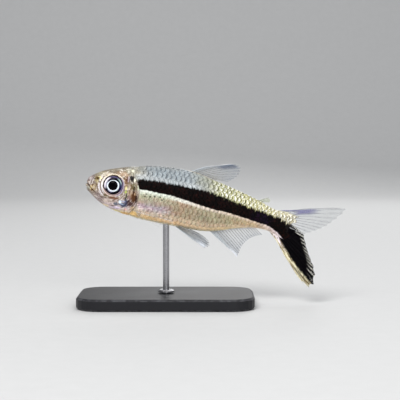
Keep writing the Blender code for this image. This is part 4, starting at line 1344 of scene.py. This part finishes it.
def eye_profile():
    """Half an outline of the eye, as (radius, height over the skin), from its back to its front."""
    profile = []
    for angle in math.pi / 2 * np.arange(EYE_BACK_RINGS) / EYE_BACK_RINGS:
        height = EYE_EDGE - 0.1 - (EYE_DEPTH - 0.4) * math.cos(angle)
        profile.append((EYE_RADIUS * math.sin(angle), height))
    profile.append((EYE_RADIUS, EYE_EDGE - 0.1))
    for share in np.arange(EYE_FRONT_RINGS, -1, -1) / EYE_FRONT_RINGS:
        radius = EYE_RADIUS * share
        height = EYE_FRONT + (EYE_EDGE - EYE_FRONT) * share**2
        height -= 0.05 * float(ridge(radius - EYE_RADIUS, 0.06))
        if radius < PUPIL_RADIUS:
            height += PUPIL_RISE * math.sqrt(1 - (radius / PUPIL_RADIUS) ** 2) - 0.02
        height += 0.025 * float(ridge(radius - PUPIL_RADIUS - 0.16, 0.12))
        profile.append((radius, height))
    return profile


# Streaks of the iris: their reach from the middle, the way they face, their spread, colour, strength.
IRIS_STREAKS = {
    "grey violet at the top": (2.02, 2.28, 90, 0.72, (92, 84, 118), 0.9),
    "violet over the pupil": (1.6, 1.96, 128, 0.8, (34, 14, 56), 0.9),
    "green beside it": (1.5, 1.9, 40, 0.85, (20, 66, 56), 0.9),
    "white beside the ring": (1.6, 1.8, 176, 0.72, (214, 216, 236), 0.8),
    "lilac white streak": (1.92, 2.26, 162, 0.6, (250, 242, 255), 1.0),
    "teal glint": (1.94, 2.2, 38, 0.82, (222, 246, 240), 1.0),
    "steel blue behind": (1.72, 2.14, 14, 0.86, (96, 122, 150), 0.85),
    "navy behind": (1.66, 2.16, 346, 0.8, (24, 20, 72), 0.95),
    "lilac at the back rim": (2.22, 2.44, 350, 0.76, (160, 146, 182), 0.85),
    "lilac below": (1.5, 1.76, 248, 0.84, (216, 208, 250), 0.95),
    "green gold below": (1.44, 1.66, 318, 0.86, (190, 212, 176), 0.85),
    "pink rim below": (2.26, 2.5, 275, 0.4, (232, 202, 196), 0.85),
}


def eye_finish():
    """Dark iris with fine spokes and streaks, a white ring, a black lens, under a clear coat."""
    finish, tree, shader = new_finish("tetra_eye")
    place = own_attribute(tree, "eye_place")
    across, up, radius = parts_of(place)
    angle = up.work("ARCTAN2", across)
    spokes = joined(angle.work("COSINE") * 7.0, angle.work("SINE") * 7.0, radius * 0.8)
    fibres = noise(spokes, 1.6, detail=4.0, roughness=0.7)
    cloud = noise(place, 1.1, detail=2.0)
    wavy = (fibres - 0.5) * 0.2 + radius
    iris = blended(fibres.step(0.35, 0.75), (3, 2, 6), (20, 16, 30))
    iris = streaked(iris, place, fibres - 0.5, IRIS_STREAKS)
    rim = wavy.step(2.3, 2.42)
    rim_colour = blended(cloud.step(0.4, 0.6), (40, 28, 32), (120, 104, 112))
    iris = blended(rim * 0.8, iris, rim_colour)
    drawn_in = (angle - 0.25).work("SINE").step(0.3, 1.0) * 0.2 + wavy
    ring = wavy.step(1.18, 1.24) * drawn_in.step(1.6, 1.5)
    ring_colour = blended(fibres.step(0.32, 0.62), (190, 206, 222), (248, 252, 255))
    iris = blended(ring, iris, ring_colour)
    pupil = radius.step(PUPIL_RADIUS + 0.02, PUPIL_RADIUS - 0.03)
    iris = blended(pupil, iris, (2, 2, 4))
    dress(
        shader,
        {
            "Base Color": iris,
            "Metallic": (1.0 - pupil) * 0.04,
            "Roughness": pupil * -0.2 + 0.45,
            "Specular IOR Level": 0.02,
            "Coat Weight": 0.04,
            "Coat Roughness": 0.02,
            "Normal": bumped(fibres * (1.0 - pupil), 0.06, 0.6),
        },
    )
    return finish


eye_gloss = eye_finish()


def build_eye(name, sign):
    centre, normal = flank_point(*EYE_AT, sign)
    tailward = np.array([1.0, 0.0, 0.0])
    tailward = tailward - tailward.dot(normal) * normal
    tailward /= np.linalg.norm(tailward)
    upward = np.cross(tailward, normal) * -sign
    upward *= np.sign(upward[2])
    profile = eye_profile()
    places = [(0.0, 0.0, 0.0)]
    heights = [profile[0][1]]
    for radius, height in profile[1:-1]:
        for angle in 2 * math.pi * np.arange(EYE_SIDES) / EYE_SIDES:
            places.append((radius * math.cos(angle), radius * math.sin(angle), radius))
            heights.append(height)
    places.append((0.0, 0.0, 0.0))
    heights.append(profile[-1][1])
    places = np.array(places)
    off_axis = places[:, :1] * tailward + places[:, 1:2] * upward
    points = centre + off_axis + np.array(heights)[:, None] * normal
    faces = capped_tube(len(profile) - 2, EYE_SIDES)
    if sign < 0:
        faces = [tuple(reversed(face)) for face in faces]
    eye = new_piece(f"{name}_ball", posed(points), faces, eye_gloss)
    mark_points(eye, "eye_place", places)
    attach(eye, "root")
    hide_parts(name)


build_eye("eye_left", -1)
build_eye("eye_right", 1)


# The fins: bony rays, jointed and branched towards their tips, with a thin clear membrane stretched
# between them. Each fin grows from the body, spread or folded as the fish holds it.
JOINT_GAP = 0.3
FIRST_RAY_SHARE = 0.62
MEMBRANE_ROOT = 0.16
MEMBRANE_TIP = 0.05
MEMBRANE_NOTCH = 0.035
MEMBRANE_WAVE = 0.05
MEMBRANE_COLUMNS = 6
RAY_ROOT = 0.12
RAY_FORK = 0.085
RAY_TIP = 0.03
FORK_AT = 0.5
FORK_SPREAD = 0.13
SECOND_FORK_AT = 0.76
SECOND_FORK_SPREAD = 0.1
RAY_SIDES = 7
FIN_ROWS = 17
RAY_SUNK = 0.8

DORSAL_RAYS = 11
DORSAL_BASE = (25.9, 31.9)
DORSAL_TIPS = ((34.5, 10.85), (36.6, 10.5), (36.5, 8.5), (34.5, 6.4))
DORSAL_BOW = 0.6
ADIPOSE_RAYS = 5
ADIPOSE_BASE = (42.9, 44.1)
ADIPOSE_TIPS = ((44.6, 4.95), (45.3, 4.5), (45.2, 3.9))
ADIPOSE_BOW = 0.12
ANAL_RAYS = 17
ANAL_BASE = (33.0, 44.3)
ANAL_TIPS = ((41.4, -11.7), (41.7, -9.0), (43.4, -6.1), (46.0, -4.4))
ANAL_BOW = -0.25
PELVIC_RAYS = 8
PELVIC_BOW = -0.3
PELVIC_BASE = (24.2, 25.5)
PELVIC_ROOT_SIDES = (0.9, 1.5)
PELVIC_TIPS = ((31.8, 2.6, -10.9), (33.0, 3.1, -10.0), (31.8, 3.3, -8.9), (29.6, 3.0, -8.0))
PECTORAL_RAYS = 11
PECTORAL_LIFT = 0.34
PECTORAL_BOW = 0.35
PECTORAL_BASE = ((13.95, -4.3), (14.35, -5.4))
PECTORAL_TIPS = ((22.6, 4.5, -5.2), (23.2, 4.75, -6.0), (21.8, 4.6, -7.0), (19.6, 4.2, -7.5))


def lerp(ends, share):
    return ends[0] + (ends[1] - ends[0]) * share


def flat(along, height):
    return np.array([float(along), 0.0, float(height)])


def smooth_line(points, count):
    """Evenly spread points of a smooth curve through a few given ones."""
    points = np.array(points, float)
    knots = np.concatenate([[0.0], np.cumsum(np.linalg.norm(np.diff(points, axis=0), axis=1))])
    places = knots[-1] * np.arange(count) / (count - 1)
    curves = [smooth_curve(knots, points[:, i])(places) for i in range(points.shape[1])]
    return np.stack(curves, axis=-1)


def ray_line(root, tip, bow):
    """Points of one fin ray from its root to its tip, bowed sideways by a vector at its middle."""
    middle = (root + tip) / 2 + bow
    t = np.linspace(0.0, 1.0, FIN_ROWS)[:, None]
    return root * (1 - t) ** 2 + middle * 2 * t * (1 - t) + tip * t**2


def middle_fin_rays(base, root_height, outline, count, bow):
    """The rays of a fin on the fish's middle line: a short first one, and the rest out to the outline."""
    tips = [flat(*tip) for tip in smooth_line(outline, count - 1)]
    rays = []
    for k in range(count):
        share = k / (count - 1)
        along = lerp(base, share)
        root = flat(along, root_height(along))
        short = root + (tips[0] - root) * FIRST_RAY_SHARE + bow * 0.15
        rays.append(ray_line(root, tips[k - 1] if k else short, bow * (1 - share)))
    return rays


def above_back(along):
    return float(back_height(along)) + JOINT_GAP


def below_belly(along):
    return float(belly_height(along)) - JOINT_GAP


def belly_point(along, side, sign, lift):
    """A point under the belly, so far from the middle, lifted off the skin."""
    turn = -math.acos((side / float(half_width(along))) ** (BELLY_FULLNESS / 2))
    point = skin_surface(along, turn) + skin_outward(along, turn) * lift
    return point * np.array([1.0, sign, 1.0])


def pelvic_rays(sign):
    rays = []
    for k, tip in enumerate(smooth_line(PELVIC_TIPS, PELVIC_RAYS)):
        share = k / (PELVIC_RAYS - 1)
        root = belly_point(lerp(PELVIC_BASE, share), lerp(PELVIC_ROOT_SIDES, share), sign, JOINT_GAP * 1.5)
        rays.append(ray_line(root, tip * np.array([1.0, sign, 1.0]), flat(0, PELVIC_BOW * (1 - share))))
    return rays


def pectoral_rays(sign):
    rays = []
    for k, tip in enumerate(smooth_line(PECTORAL_TIPS, PECTORAL_RAYS)):
        share = k / (PECTORAL_RAYS - 1)
        along, height = (lerp(ends, share) for ends in zip(*PECTORAL_BASE))
        root, _ = flank_point(along, height, sign, lift=JOINT_GAP + PECTORAL_LIFT)
        bow = np.array([0.0, sign * PECTORAL_BOW, 0.0])
        rays.append(ray_line(root, tip * np.array([1.0, sign, 1.0]), bow))
    return rays


def rooted(rays):
    """Carries each ray on into the flesh, so that its root is hidden."""
    longer = []
    for ray in rays:
        step = ray[0] - ray[1]
        start = ray[0] + step / np.linalg.norm(step) * RAY_SUNK
        share = np.linspace(0.0, 1.0, FIN_ROWS)[:, None] ** 1.5
        longer.append(ray + (start - ray[0]) * (1 - share) ** 4)
    return longer


def fin_sides(rays):
    """The direction square to a fin at each of its rays' points."""
    lines = np.array(rays)
    across = np.gradient(lines, axis=0)
    outward = np.gradient(lines, axis=1)
    normals = np.cross(outward, across)
    lengths = np.linalg.norm(normals, axis=-1, keepdims=True)
    normals = normals / np.maximum(lengths, 1e-9)
    if normals[..., 1].mean() < 0:
        normals = -normals
    return normals


def build_membrane(name, rays, finish, thin):
    """The closed thin membrane, waved a little between the rays and notched at its edge."""
    normals = fin_sides(rays)
    count = len(rays)
    columns = (count - 1) * MEMBRANE_COLUMNS + 1
    middle = []
    facing = []
    places = []
    outs = np.linspace(0.0, 1.0, FIN_ROWS)
    for c in range(columns):
        index = min(c // MEMBRANE_COLUMNS, count - 2)
        share = c / MEMBRANE_COLUMNS - index
        line = rays[index] * (1 - share) + rays[index + 1] * share
        normal = normals[index] * (1 - share) + normals[index + 1] * share
        sag = math.sin(math.pi * share)
        line = line - (line - line[0]) * (MEMBRANE_NOTCH * sag * outs[:, None] ** 3)
        middle.append(line + normal * (MEMBRANE_WAVE * sag * (1 if index % 2 else -1) * outs[:, None]))
        facing.append(normal)
        places += [(out, (index + share) / (count - 1), sag) for out in outs]
    middle = np.array(middle)
    thick = lerp((MEMBRANE_ROOT, MEMBRANE_TIP), outs**0.7)[None, :, None] * thin / 2
    aside = np.array(facing) * thick
    points = np.concatenate([(middle + aside).reshape(-1, 3), (middle - aside).reshape(-1, 3)])
    piece = new_piece(f"{name}_membrane", posed(points), sheet_faces(columns, FIN_ROWS), finish)
    mark_points(piece, "fin_place", places + places)
    mark_points(piece, "straight", points)
    turn_outward(piece)
    return piece


def turn_outward(piece):
    """Turns a closed mesh's faces outwards where its volume shows that they point in."""
    mesh = piece.data
    mesh.calc_loop_triangles()
    places = np.zeros(len(mesh.vertices) * 3)
    mesh.vertices.foreach_get("co", places)
    places = places.reshape(-1, 3)
    corners = np.zeros(len(mesh.loop_triangles) * 3, dtype=np.int32)
    mesh.loop_triangles.foreach_get("vertices", corners)
    a, b, c = places[corners.reshape(-1, 3)].transpose(1, 0, 2)
    if np.einsum("ij,ij->i", a, np.cross(b, c)).sum() < 0:
        mesh.flip_normals()


def fin_ray_tree():
    """Turns each line of points into a round tapering ray."""
    tree, given, result = new_group(
        "GeometryNodeTree", "fin_rays",
        {"Lines": "Geometry", "Sides": "Int", "Millimetre": "Float", "Finish": "Material"},
        {"Rays": "Geometry"},
    )
    tree.is_modifier = True
    curve = wired(tree, "GeometryNodeMeshToCurve", {"Mesh": given["Lines"]}, "Curve")
    round_sizes = {"Resolution": given["Sides"], "Radius": given["Millimetre"]}
    circle = wired(tree, "GeometryNodeCurvePrimitiveCircle", round_sizes, "Curve")
    thickness = field(tree, "thickness", "FLOAT")
    swept = {"Curve": curve, "Profile Curve": circle, "Scale": thickness, "Fill Caps": True}
    rays = wired(tree, "GeometryNodeCurveToMesh", swept, "Mesh")
    rays = wired(tree, "GeometryNodeRealizeInstances", {"Geometry": rays}, "Geometry")
    dressed = {"Geometry": rays, "Material": given["Finish"]}
    feed(result["Rays"], wired(tree, "GeometryNodeSetMaterial", dressed, "Geometry"))
    return tree


ray_tree = fin_ray_tree()


def forked_lines(rays, forks):
    """Lines of points for each ray and its branches: (points, shares outwards, share across, widths)."""
    lines = []
    outs = np.linspace(0.0, 1.0, FIN_ROWS)
    asides = np.gradient(np.array(rays), axis=0)
    for index, (ray, aside) in enumerate(zip(rays, asides)):

        def branch(start, end, from_offset, to_offset, wide, narrow):
            places = np.linspace(start, end, max(4, int((end - start) * 20)))
            share = (places - start) / (end - start)
            offset = lerp((from_offset, to_offset), share**0.8)
            line = np.stack([np.interp(places, outs, ray[:, i]) for i in range(3)], axis=-1)
            shift = np.stack([np.interp(places, outs, aside[:, i]) for i in range(3)], axis=-1)
            across = index / (len(rays) - 1)
            lines.append((line + shift * offset[:, None], places, across, lerp((wide, narrow), share)))

        if not forks or index < 2:
            branch(0.0, 1.0, 0.0, 0.0, RAY_ROOT, RAY_TIP)
            continue
        branch(0.0, FORK_AT, 0.0, 0.0, RAY_ROOT, RAY_FORK)
        for half in (-FORK_SPREAD, FORK_SPREAD):
            branch(FORK_AT - 0.02, SECOND_FORK_AT, 0.0, half, RAY_FORK * 0.75, RAY_FORK * 0.55)
            for end in (half - SECOND_FORK_SPREAD, half + SECOND_FORK_SPREAD):
                branch(SECOND_FORK_AT - 0.02, 0.985, half, end, RAY_FORK * 0.5, RAY_TIP)
    return lines


def build_rays(name, rays, finish, forks, thin):
    points = []
    edges = []
    widths = []
    places = []
    for line, outs, across, thickness in forked_lines(rays, forks):
        edges += [(k, k + 1) for k in range(len(points), len(points) + len(line) - 1)]
        steps = np.concatenate([[0.0], np.cumsum(np.linalg.norm(np.diff(line, axis=0), axis=1))])
        points += list(line)
        widths += list(thickness * thin)
        places += [(out, across, step + outs[0] * 10) for out, step in zip(outs, steps)]
    straight = np.array(points)
    piece = new_piece(f"{name}_rays", posed(straight), [], edges=edges)
    mark_points(piece, "thickness", widths)
    mark_points(piece, "fin_place", places)
    mark_points(piece, "straight", straight)
    run_nodes(piece, ray_tree, {"Sides": RAY_SIDES, "Millimetre": MM, "Finish": finish})
    turn_outward(piece)
    return piece


def build_fin(name, rays, membrane_finish, ray_finish, forks=True, thin=1.0):
    rays = rooted(rays)
    for piece in (
        build_membrane(name, rays, membrane_finish, thin),
        build_rays(name, rays, ray_finish, forks, thin),
    ):
        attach(piece, "root")
        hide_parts(name)


def fin_group(name, inputs, outputs):
    """A node group for the looks of a fin, given each point's place in the fin and on the fish."""
    return new_group("ShaderNodeTree", name, {"Place": "Vector", "Straight": "Vector", **inputs}, outputs)


def in_fin(tree, group, values):
    """Places a fin's node group in a material with its own values."""
    places = {"Place": own_attribute(tree, "fin_place"), "Straight": own_attribute(tree, "straight")}
    return grouped(tree, group, {**places, **values})


def membrane_look_group():
    """A clear membrane: a faint tint, fine ripples between the rays, whiter along its outer edge."""
    tree, given, result = fin_group(
        "membrane_look",
        {"Tint": "Color", "Edge Tint": "Color", "Clear": "Float", "Edge": "Float", "Slate": "Float"},
        FIN_LOOKS,
    )
    out, across, sag = parts_of(given["Place"])
    ripples = noise(given["Straight"], 2.2)
    tip = out.step(0.5, 0.85) * across.step(0.17, 0.09)
    colour = blended(ripples.step(0.3, 0.7), given["Tint"], given["Edge Tint"])
    slate = out.within(0.4, 0.65, 0.9, 1.0) * across.within(0.1, 0.2, 0.3, 0.5) * given["Slate"]
    colour = blended(slate, colour, (70, 84, 108))
    alpha = (ripples - 0.5) * 0.16 + given["Clear"] + out.step(0.25, 0.0) * 0.15
    alpha = alpha + (across.step(0.34, 0.12) + (tip + slate) * 1.8) * given["Edge"]
    feed(result["Base Color"], blended(tip * 0.9, colour, (236, 240, 248)))
    feed(result["Alpha"], alpha)
    feed(result["Roughness"], ripples * 0.2 + 0.22)
    feed(result["Normal"], bumped(ripples + sag, 0.04, 0.5))
    return tree


def ray_look_group():
    """Bony rays: jointed in short lengths, clear horn grey, whiter at the tips of the front ones."""
    tree, given, result = fin_group(
        "ray_look",
        {"Root Tint": "Color", "Tip Tint": "Color", "White Tips": "Float", "Solid": "Float"},
        FIN_LOOKS,
    )
    out, across, run = parts_of(given["Place"])
    joint = (run * 2.2).work("FRACT").within(0.0, 0.1, 0.2, 0.32)
    specks = noise(given["Straight"], 3.5, detail=2.0)
    colour = blended(out.step(0.1, 0.9), given["Root Tint"], given["Tip Tint"])
    white = out.step(0.5, 0.8) * across.step(0.22, 0.08)
    leading = across.step(0.13, 0.08)
    colour = blended(leading * 0.8, colour, (206, 218, 226))
    colour = blended(white * given["White Tips"], colour, (250, 250, 248))
    seen = specks.step(0.3, 0.7) * 0.6 + 1.0 + white.work("MAXIMUM", leading) * 1.5
    feed(result["Base Color"], blended(joint * 0.1, colour, (92, 90, 92)))
    feed(result["Alpha"], seen * given["Solid"])
    feed(result["Roughness"], specks * 0.2 + 0.25)
    feed(result["Normal"], bumped(joint, 0.03, 0.6))
    return tree


FIN_LOOKS = {"Base Color": "Color", "Alpha": "Float", "Roughness": "Float", "Normal": "Vector"}
membrane_look = membrane_look_group()
ray_look = ray_look_group()


def fin_finish(name, look, **values):
    finish, tree, shader = new_finish(name)
    values = {title.replace("_", " ").title(): value for title, value in values.items()}
    dress(shader, dict(zip(FIN_LOOKS, in_fin(tree, look, values))))
    return finish


GREY_CLEAR = {"tint": (120, 126, 130), "edge_tint": (150, 158, 166), "clear": 0.12, "edge": 0.2}
clear_membrane = fin_finish("clear_membrane", membrane_look, **GREY_CLEAR, slate=0.0)
dorsal_membrane = fin_finish("dorsal_membrane", membrane_look, **GREY_CLEAR, slate=1.0)
breast_membrane = fin_finish(
    "breast_membrane", membrane_look,
    tint=(200, 196, 190), edge_tint=(220, 220, 220), clear=0.0, edge=0.03, slate=0.0,
)
adipose_membrane = fin_finish(
    "adipose_membrane", membrane_look,
    tint=(140, 148, 116), edge_tint=(186, 192, 158), clear=0.3, edge=0.1, slate=0.0,
)
clear_rays = fin_finish(
    "clear_fin_rays", ray_look,
    root_tint=(150, 146, 134), tip_tint=(150, 158, 168), white_tips=1.0, solid=0.24,
)
breast_rays = fin_finish(
    "breast_rays", ray_look,
    root_tint=(224, 214, 196), tip_tint=(216, 214, 210), white_tips=0.3, solid=0.04,
)
adipose_rays = fin_finish(
    "adipose_rays", ray_look,
    root_tint=(160, 164, 128), tip_tint=(206, 210, 180), white_tips=0.5, solid=0.2,
)

build_fin(
    "dorsal_fin",
    middle_fin_rays(DORSAL_BASE, above_back, DORSAL_TIPS, DORSAL_RAYS, flat(0, DORSAL_BOW)),
    dorsal_membrane, clear_rays,
)
build_fin(
    "adipose_fin",
    middle_fin_rays(ADIPOSE_BASE, above_back, ADIPOSE_TIPS, ADIPOSE_RAYS, flat(0, ADIPOSE_BOW)),
    adipose_membrane, adipose_rays, forks=False, thin=0.45,
)
build_fin(
    "anal_fin",
    middle_fin_rays(ANAL_BASE, below_belly, ANAL_TIPS, ANAL_RAYS, flat(0, ANAL_BOW)),
    clear_membrane, clear_rays,
)
for side_name, side_sign in (("left", -1), ("right", 1)):
    build_fin(
        f"pelvic_fin_{side_name}", pelvic_rays(side_sign),
        clear_membrane, clear_rays, thin=0.8,
    )
    build_fin(
        f"pectoral_fin_{side_name}", pectoral_rays(side_sign),
        breast_membrane, breast_rays, thin=0.6,
    )


# The tail fin: a clear upper lobe, bluish along its leading edge, and a black lower lobe with a pale
# gold leading edge. The band's black runs on over the upper lobe's lowest rays, and white dashes edge
# the rear of the black. Up each leading edge lie small rays, and both lobes grow from the stalk's end.
TAIL_UPPER_RAYS = 10
TAIL_UPPER_TIPS = ((61.6, 9.55), (63.0, 9.9), (62.4, 7.9), (59.6, 3.3), (56.0, -0.1))
TAIL_UPPER_BOW = 0.8
TAIL_LOWER_RAYS = 9
TAIL_LOWER_TIPS = ((60.2, -11.1), (63.2, -11.6), (63.0, -8.8), (59.6, -4.6), (56.0, -0.25))
TAIL_LOWER_BOW = 1.0
TAIL_SMALL_RAYS = 3
TAIL_SMALL_BASE = (48.6, 49.7)
TAIL_SMALL_REACH = (0.13, 0.42)
TAIL_SMALL_ASIDE = 0.28


def tail_rays(sign, outline, count, edge_height, bow):
    """The small rays up a tail lobe's leading edge, then its main rays from the leading one inwards."""
    root_along = STANDARD_LENGTH + JOINT_GAP
    outer_root = edge_height(STANDARD_LENGTH)
    main = []
    for k, tip in enumerate(smooth_line(outline, count)):
        share = k / (count - 1)
        root = flat(root_along, outer_root * (1 - share) + sign * JOINT_GAP / 2 * share)
        main.append(ray_line(root, flat(*tip), flat(0, sign * bow * (1 - share) ** 1.5)))
    leading = main[0]
    run = leading[-1] - leading[0]
    outward = np.array([-run[2], 0.0, run[0]]) / np.linalg.norm(run)
    outward *= sign * np.sign(outward[2])
    small = []
    for k in range(TAIL_SMALL_RAYS):
        share = k / (TAIL_SMALL_RAYS - 1)
        along = lerp(TAIL_SMALL_BASE, share)
        place = lerp(TAIL_SMALL_REACH, share) * (FIN_ROWS - 1)
        low = int(place)
        beside = leading[low] + (leading[low + 1] - leading[low]) * (place - low)
        tip = beside + outward * TAIL_SMALL_ASIDE
        small.append(ray_line(flat(along, edge_height(along)), tip, flat(0, 0)))
    return small + main


def black_lobe_group():
    """The lower lobe's colours by place, for its membrane and its rays alike."""
    tree, given, result = fin_group("black_lobe", {}, {"Colour": "Color", "Gold": "Float", "Fine": "Float"})
    out, across, _ = parts_of(given["Place"])
    straight = given["Straight"]
    grain = noise(straight, 1.4)
    ends = out * 0.055 + 0.36
    gold = (across + (grain - 0.5) * 0.1).step(ends + 0.03, ends - 0.03)
    black = blended(grain.step(0.5, 0.8), (2, 1, 3), (18, 11, 16))
    streaks = noise(joined(out * 3.0, across * 34.0, 0.0), 1.0, detail=2.0)
    gilt = blended(out.step(0.14, 0.36), (255, 244, 250), (255, 248, 212))
    specks = noise(straight, 5.0, detail=2.0)
    flaws = streaks.step(0.42, 0.52).work("MINIMUM", specks.step(0.38, 0.5))
    feed(result["Colour"], blended(gold, black, blended(flaws, (118, 100, 66), gilt)))
    feed(result["Gold"], gold)
    feed(result["Fine"], noise(straight, 1.0, detail=2.0, stretch=(3.0, 1.0, 3.0)))
    return tree


black_lobe = black_lobe_group()


def black_membrane_finish():
    finish, tree, shader = new_finish("black_lobe_membrane")
    out, across, sag = parts_of(own_attribute(tree, "fin_place"))
    colour, gold, fine = in_fin(tree, black_lobe, {})
    split = across.within(0.3, 0.325, 0.36, 0.385) * out.step(0.5, 0.7)
    colour = blended(split * 0.9, colour, (24, 18, 18))
    stripes = (across * 20.0).work("FRACT").within(0.2, 0.36, 0.6, 0.76)
    lengths = (out * 16.0 + fine * 6.0).work("FRACT").within(0.0, 0.12, 0.4, 0.55)
    rear = across.step(0.46, 0.54) * out.step(0.76, 0.9)
    fork = across.step(0.95, 0.96) * out.step(0.55, 0.7)
    dash = stripes * lengths * rear.work("MAXIMUM", fork)
    colour = blended(dash * 0.95, colour, (240, 238, 226))
    fringe = across.step(0.44, 0.54) * out.step(0.96, 1.0)
    alpha = (fringe * -0.4 + 0.98).work("MAXIMUM", dash * 0.95)
    dress(
        shader,
        {
            "Base Color": colour,
            "Specular IOR Level": 0.03,
            "Alpha": alpha,
            "Metallic": gold * 0.08,
            "Roughness": fine * 0.2 + 0.3,
            "Normal": bumped(fine + sag, 0.04, 0.5),
        },
    )
    return finish


def black_rays_finish():
    finish, tree, shader = new_finish("black_lobe_rays")
    out, across, run = parts_of(own_attribute(tree, "fin_place"))
    colour, gold, fine = in_fin(tree, black_lobe, {})
    dash = (run * 1.6).work("FRACT").within(0.0, 0.12, 0.4, 0.52)
    rear = across.step(0.36, 0.46) * out.step(0.86, 0.92)
    last = across.step(0.93, 0.98) * out.step(0.55, 0.7)
    white = rear.work("MAXIMUM", last) * dash
    colour = blended(white * 0.95, colour, (244, 242, 236))
    dress(
        shader,
        {
            "Base Color": colour,
            "Specular IOR Level": 0.05,
            "Metallic": gold * 0.1,
            "Roughness": fine * 0.2 + 0.28,
            "Normal": bumped(dash, 0.03, 0.5),
        },
    )
    return finish


def clear_lobe_group():
    """The upper lobe's colours by place. The black of the band runs on over its lowest rays."""
    tree, given, result = fin_group(
        "clear_lobe",
        {"Pale": "Color", "Blue": "Color", "Clear": "Color"},
        {"Colour": "Color", "Base": "Float", "Lead": "Float"},
    )
    out, across, _ = parts_of(given["Place"])
    along, _, height = parts_of(given["Straight"])
    base = (out - across.step(0.3, 0.45) * 0.1 - 0.1).step(0.0, -0.1)
    lead = across.step(0.5, 0.36) * out.within(0.1, 0.24, 0.36, 0.62)
    colour = blended(lead, given["Clear"], given["Blue"])
    colour = blended(base, colour, given["Pale"])
    past_root = along - STANDARD_LENGTH
    limit = past_root * past_root * -0.035 + 1.0
    below = (noise(given["Straight"], 3.0, detail=2.0) - 0.5) * 0.5 + limit - height
    black = below.step(-0.08, 0.08)
    colour = blended(black, colour, (4, 2, 4))
    lengths = (along * 2.4).work("FRACT").within(0.0, 0.2, 0.4, 0.6)
    dash = below.within(-0.1, 0.05, 0.2, 0.35) * lengths * past_root.step(2.2, 2.8)
    feed(result["Colour"], blended(dash * 0.85, colour, (240, 238, 228)))
    feed(result["Base"], base.work("MAXIMUM", black * 1.2))
    feed(result["Lead"], lead)
    return tree


clear_lobe = clear_lobe_group()


def upper_membrane_finish():
    finish, tree, shader = new_finish("clear_lobe_membrane")
    _, _, sag = parts_of(own_attribute(tree, "fin_place"))
    ripples = noise(own_attribute(tree, "straight"), 2.2)
    tints = {"Pale": (250, 240, 204), "Blue": (108, 106, 152), "Clear": (150, 156, 160)}
    colour, base, lead = in_fin(tree, clear_lobe, tints)
    dress(
        shader,
        {
            "Base Color": colour,
            "Alpha": ripples * 0.1 + 0.1 + base * 0.75 + lead * 0.45,
            "Roughness": ripples * 0.2 + 0.25,
            "Normal": bumped(ripples + sag, 0.04, 0.5),
        },
    )
    return finish


def upper_rays_finish():
    finish, tree, shader = new_finish("clear_lobe_rays")
    _, _, run = parts_of(own_attribute(tree, "fin_place"))
    specks = noise(own_attribute(tree, "straight"), 3.5, detail=2.0)
    tints = {"Pale": (255, 246, 210), "Blue": (112, 112, 150), "Clear": (146, 150, 152)}
    colour, base, lead = in_fin(tree, clear_lobe, tints)
    joint = (run * 2.0).work("FRACT").within(0.0, 0.1, 0.22, 0.34)
    joint_colour = blended(lead, (84, 82, 92), (232, 232, 246))
    colour = blended(joint * 0.6, colour, joint_colour)
    dress(
        shader,
        {
            "Base Color": colour,
            "Alpha": specks.step(0.3, 0.7) * 0.16 + 0.18 + base * 0.6 + lead * 0.5,
            "Roughness": specks * 0.2 + 0.25,
            "Normal": bumped(joint, 0.03, 0.6),
        },
    )
    return finish


build_fin(
    "tail_fin_upper",
    tail_rays(1, TAIL_UPPER_TIPS, TAIL_UPPER_RAYS, above_back, TAIL_UPPER_BOW),
    upper_membrane_finish(), upper_rays_finish(), thin=0.8,
)
build_fin(
    "tail_fin_lower",
    tail_rays(-1, TAIL_LOWER_TIPS, TAIL_LOWER_RAYS, below_belly, TAIL_LOWER_BOW),
    black_membrane_finish(), black_rays_finish(),
)


# The floor: a plain pale sweep that curves up behind the stand, with a very faint grain.
FLOOR_HALF = 1.2
FLOOR_BACK = 0.45
FLOOR_CURVE = 0.25
FLOOR_CURVE_STEPS = 16


def floor_finish():
    finish, tree, shader = new_finish("pale_floor")
    grain = noise(object_place(tree), 260.0, detail=2.0)
    colour = blended(grain, (192, 192, 191), (198, 198, 197))
    dress(shader, {"Base Color": colour, "Roughness": grain * 0.1 + 0.7})
    return finish


def build_floor():
    profile = [(-FLOOR_HALF, 0.0), (FLOOR_BACK, 0.0)]
    for angle in math.pi / 2 * np.arange(1, FLOOR_CURVE_STEPS + 1) / FLOOR_CURVE_STEPS:
        profile.append((FLOOR_BACK + FLOOR_CURVE * math.sin(angle), FLOOR_CURVE * (1 - math.cos(angle))))
    profile.append((FLOOR_BACK + FLOOR_CURVE, FLOOR_HALF))
    points = [(x, y, z) for x in (-FLOOR_HALF, FLOOR_HALF) for y, z in profile]
    return new_piece("floor", points, grid_faces(2, len(profile)), floor_finish())


build_floor()


# Plain soft studio light: one large key from the upper left, a broad fill, one over the fish and one
# behind it. Each is a square, given by its place, its size and its power.
SOFT_LIGHTS = {
    "key_light": ((-0.2, -0.42, 0.46), 0.26, 3.2),
    "fill_light": ((0.26, -0.62, 0.28), 0.34, 1.8),
    "top_light": ((0.05, 0.1, 0.55), 0.4, 1.2),
    "rear_light": ((0.1, 0.42, 0.25), 0.3, 0.6),
}
SKY_COLOUR = (0.9, 0.93, 1.0, 1.0)
SKY_STRENGTH = 0.34

for light_name, (light_place, light_size, light_power) in SOFT_LIGHTS.items():
    light_data = bpy.data.lights.new(light_name, "AREA")
    light_data.size = light_size
    light_data.energy = light_power
    light = bpy.data.objects.new(light_name, light_data)
    light.location = light_place
    light.rotation_euler = (VIEW_CENTRE - Vector(light_place)).to_track_quat("-Z", "Y").to_euler()
    scene.collection.objects.link(light)
world = bpy.data.worlds.new("studio_light")
world.use_nodes = True
world.node_tree.nodes["Background"].inputs["Color"].default_value = SKY_COLOUR
world.node_tree.nodes["Background"].inputs["Strength"].default_value = SKY_STRENGTH
scene.world = world
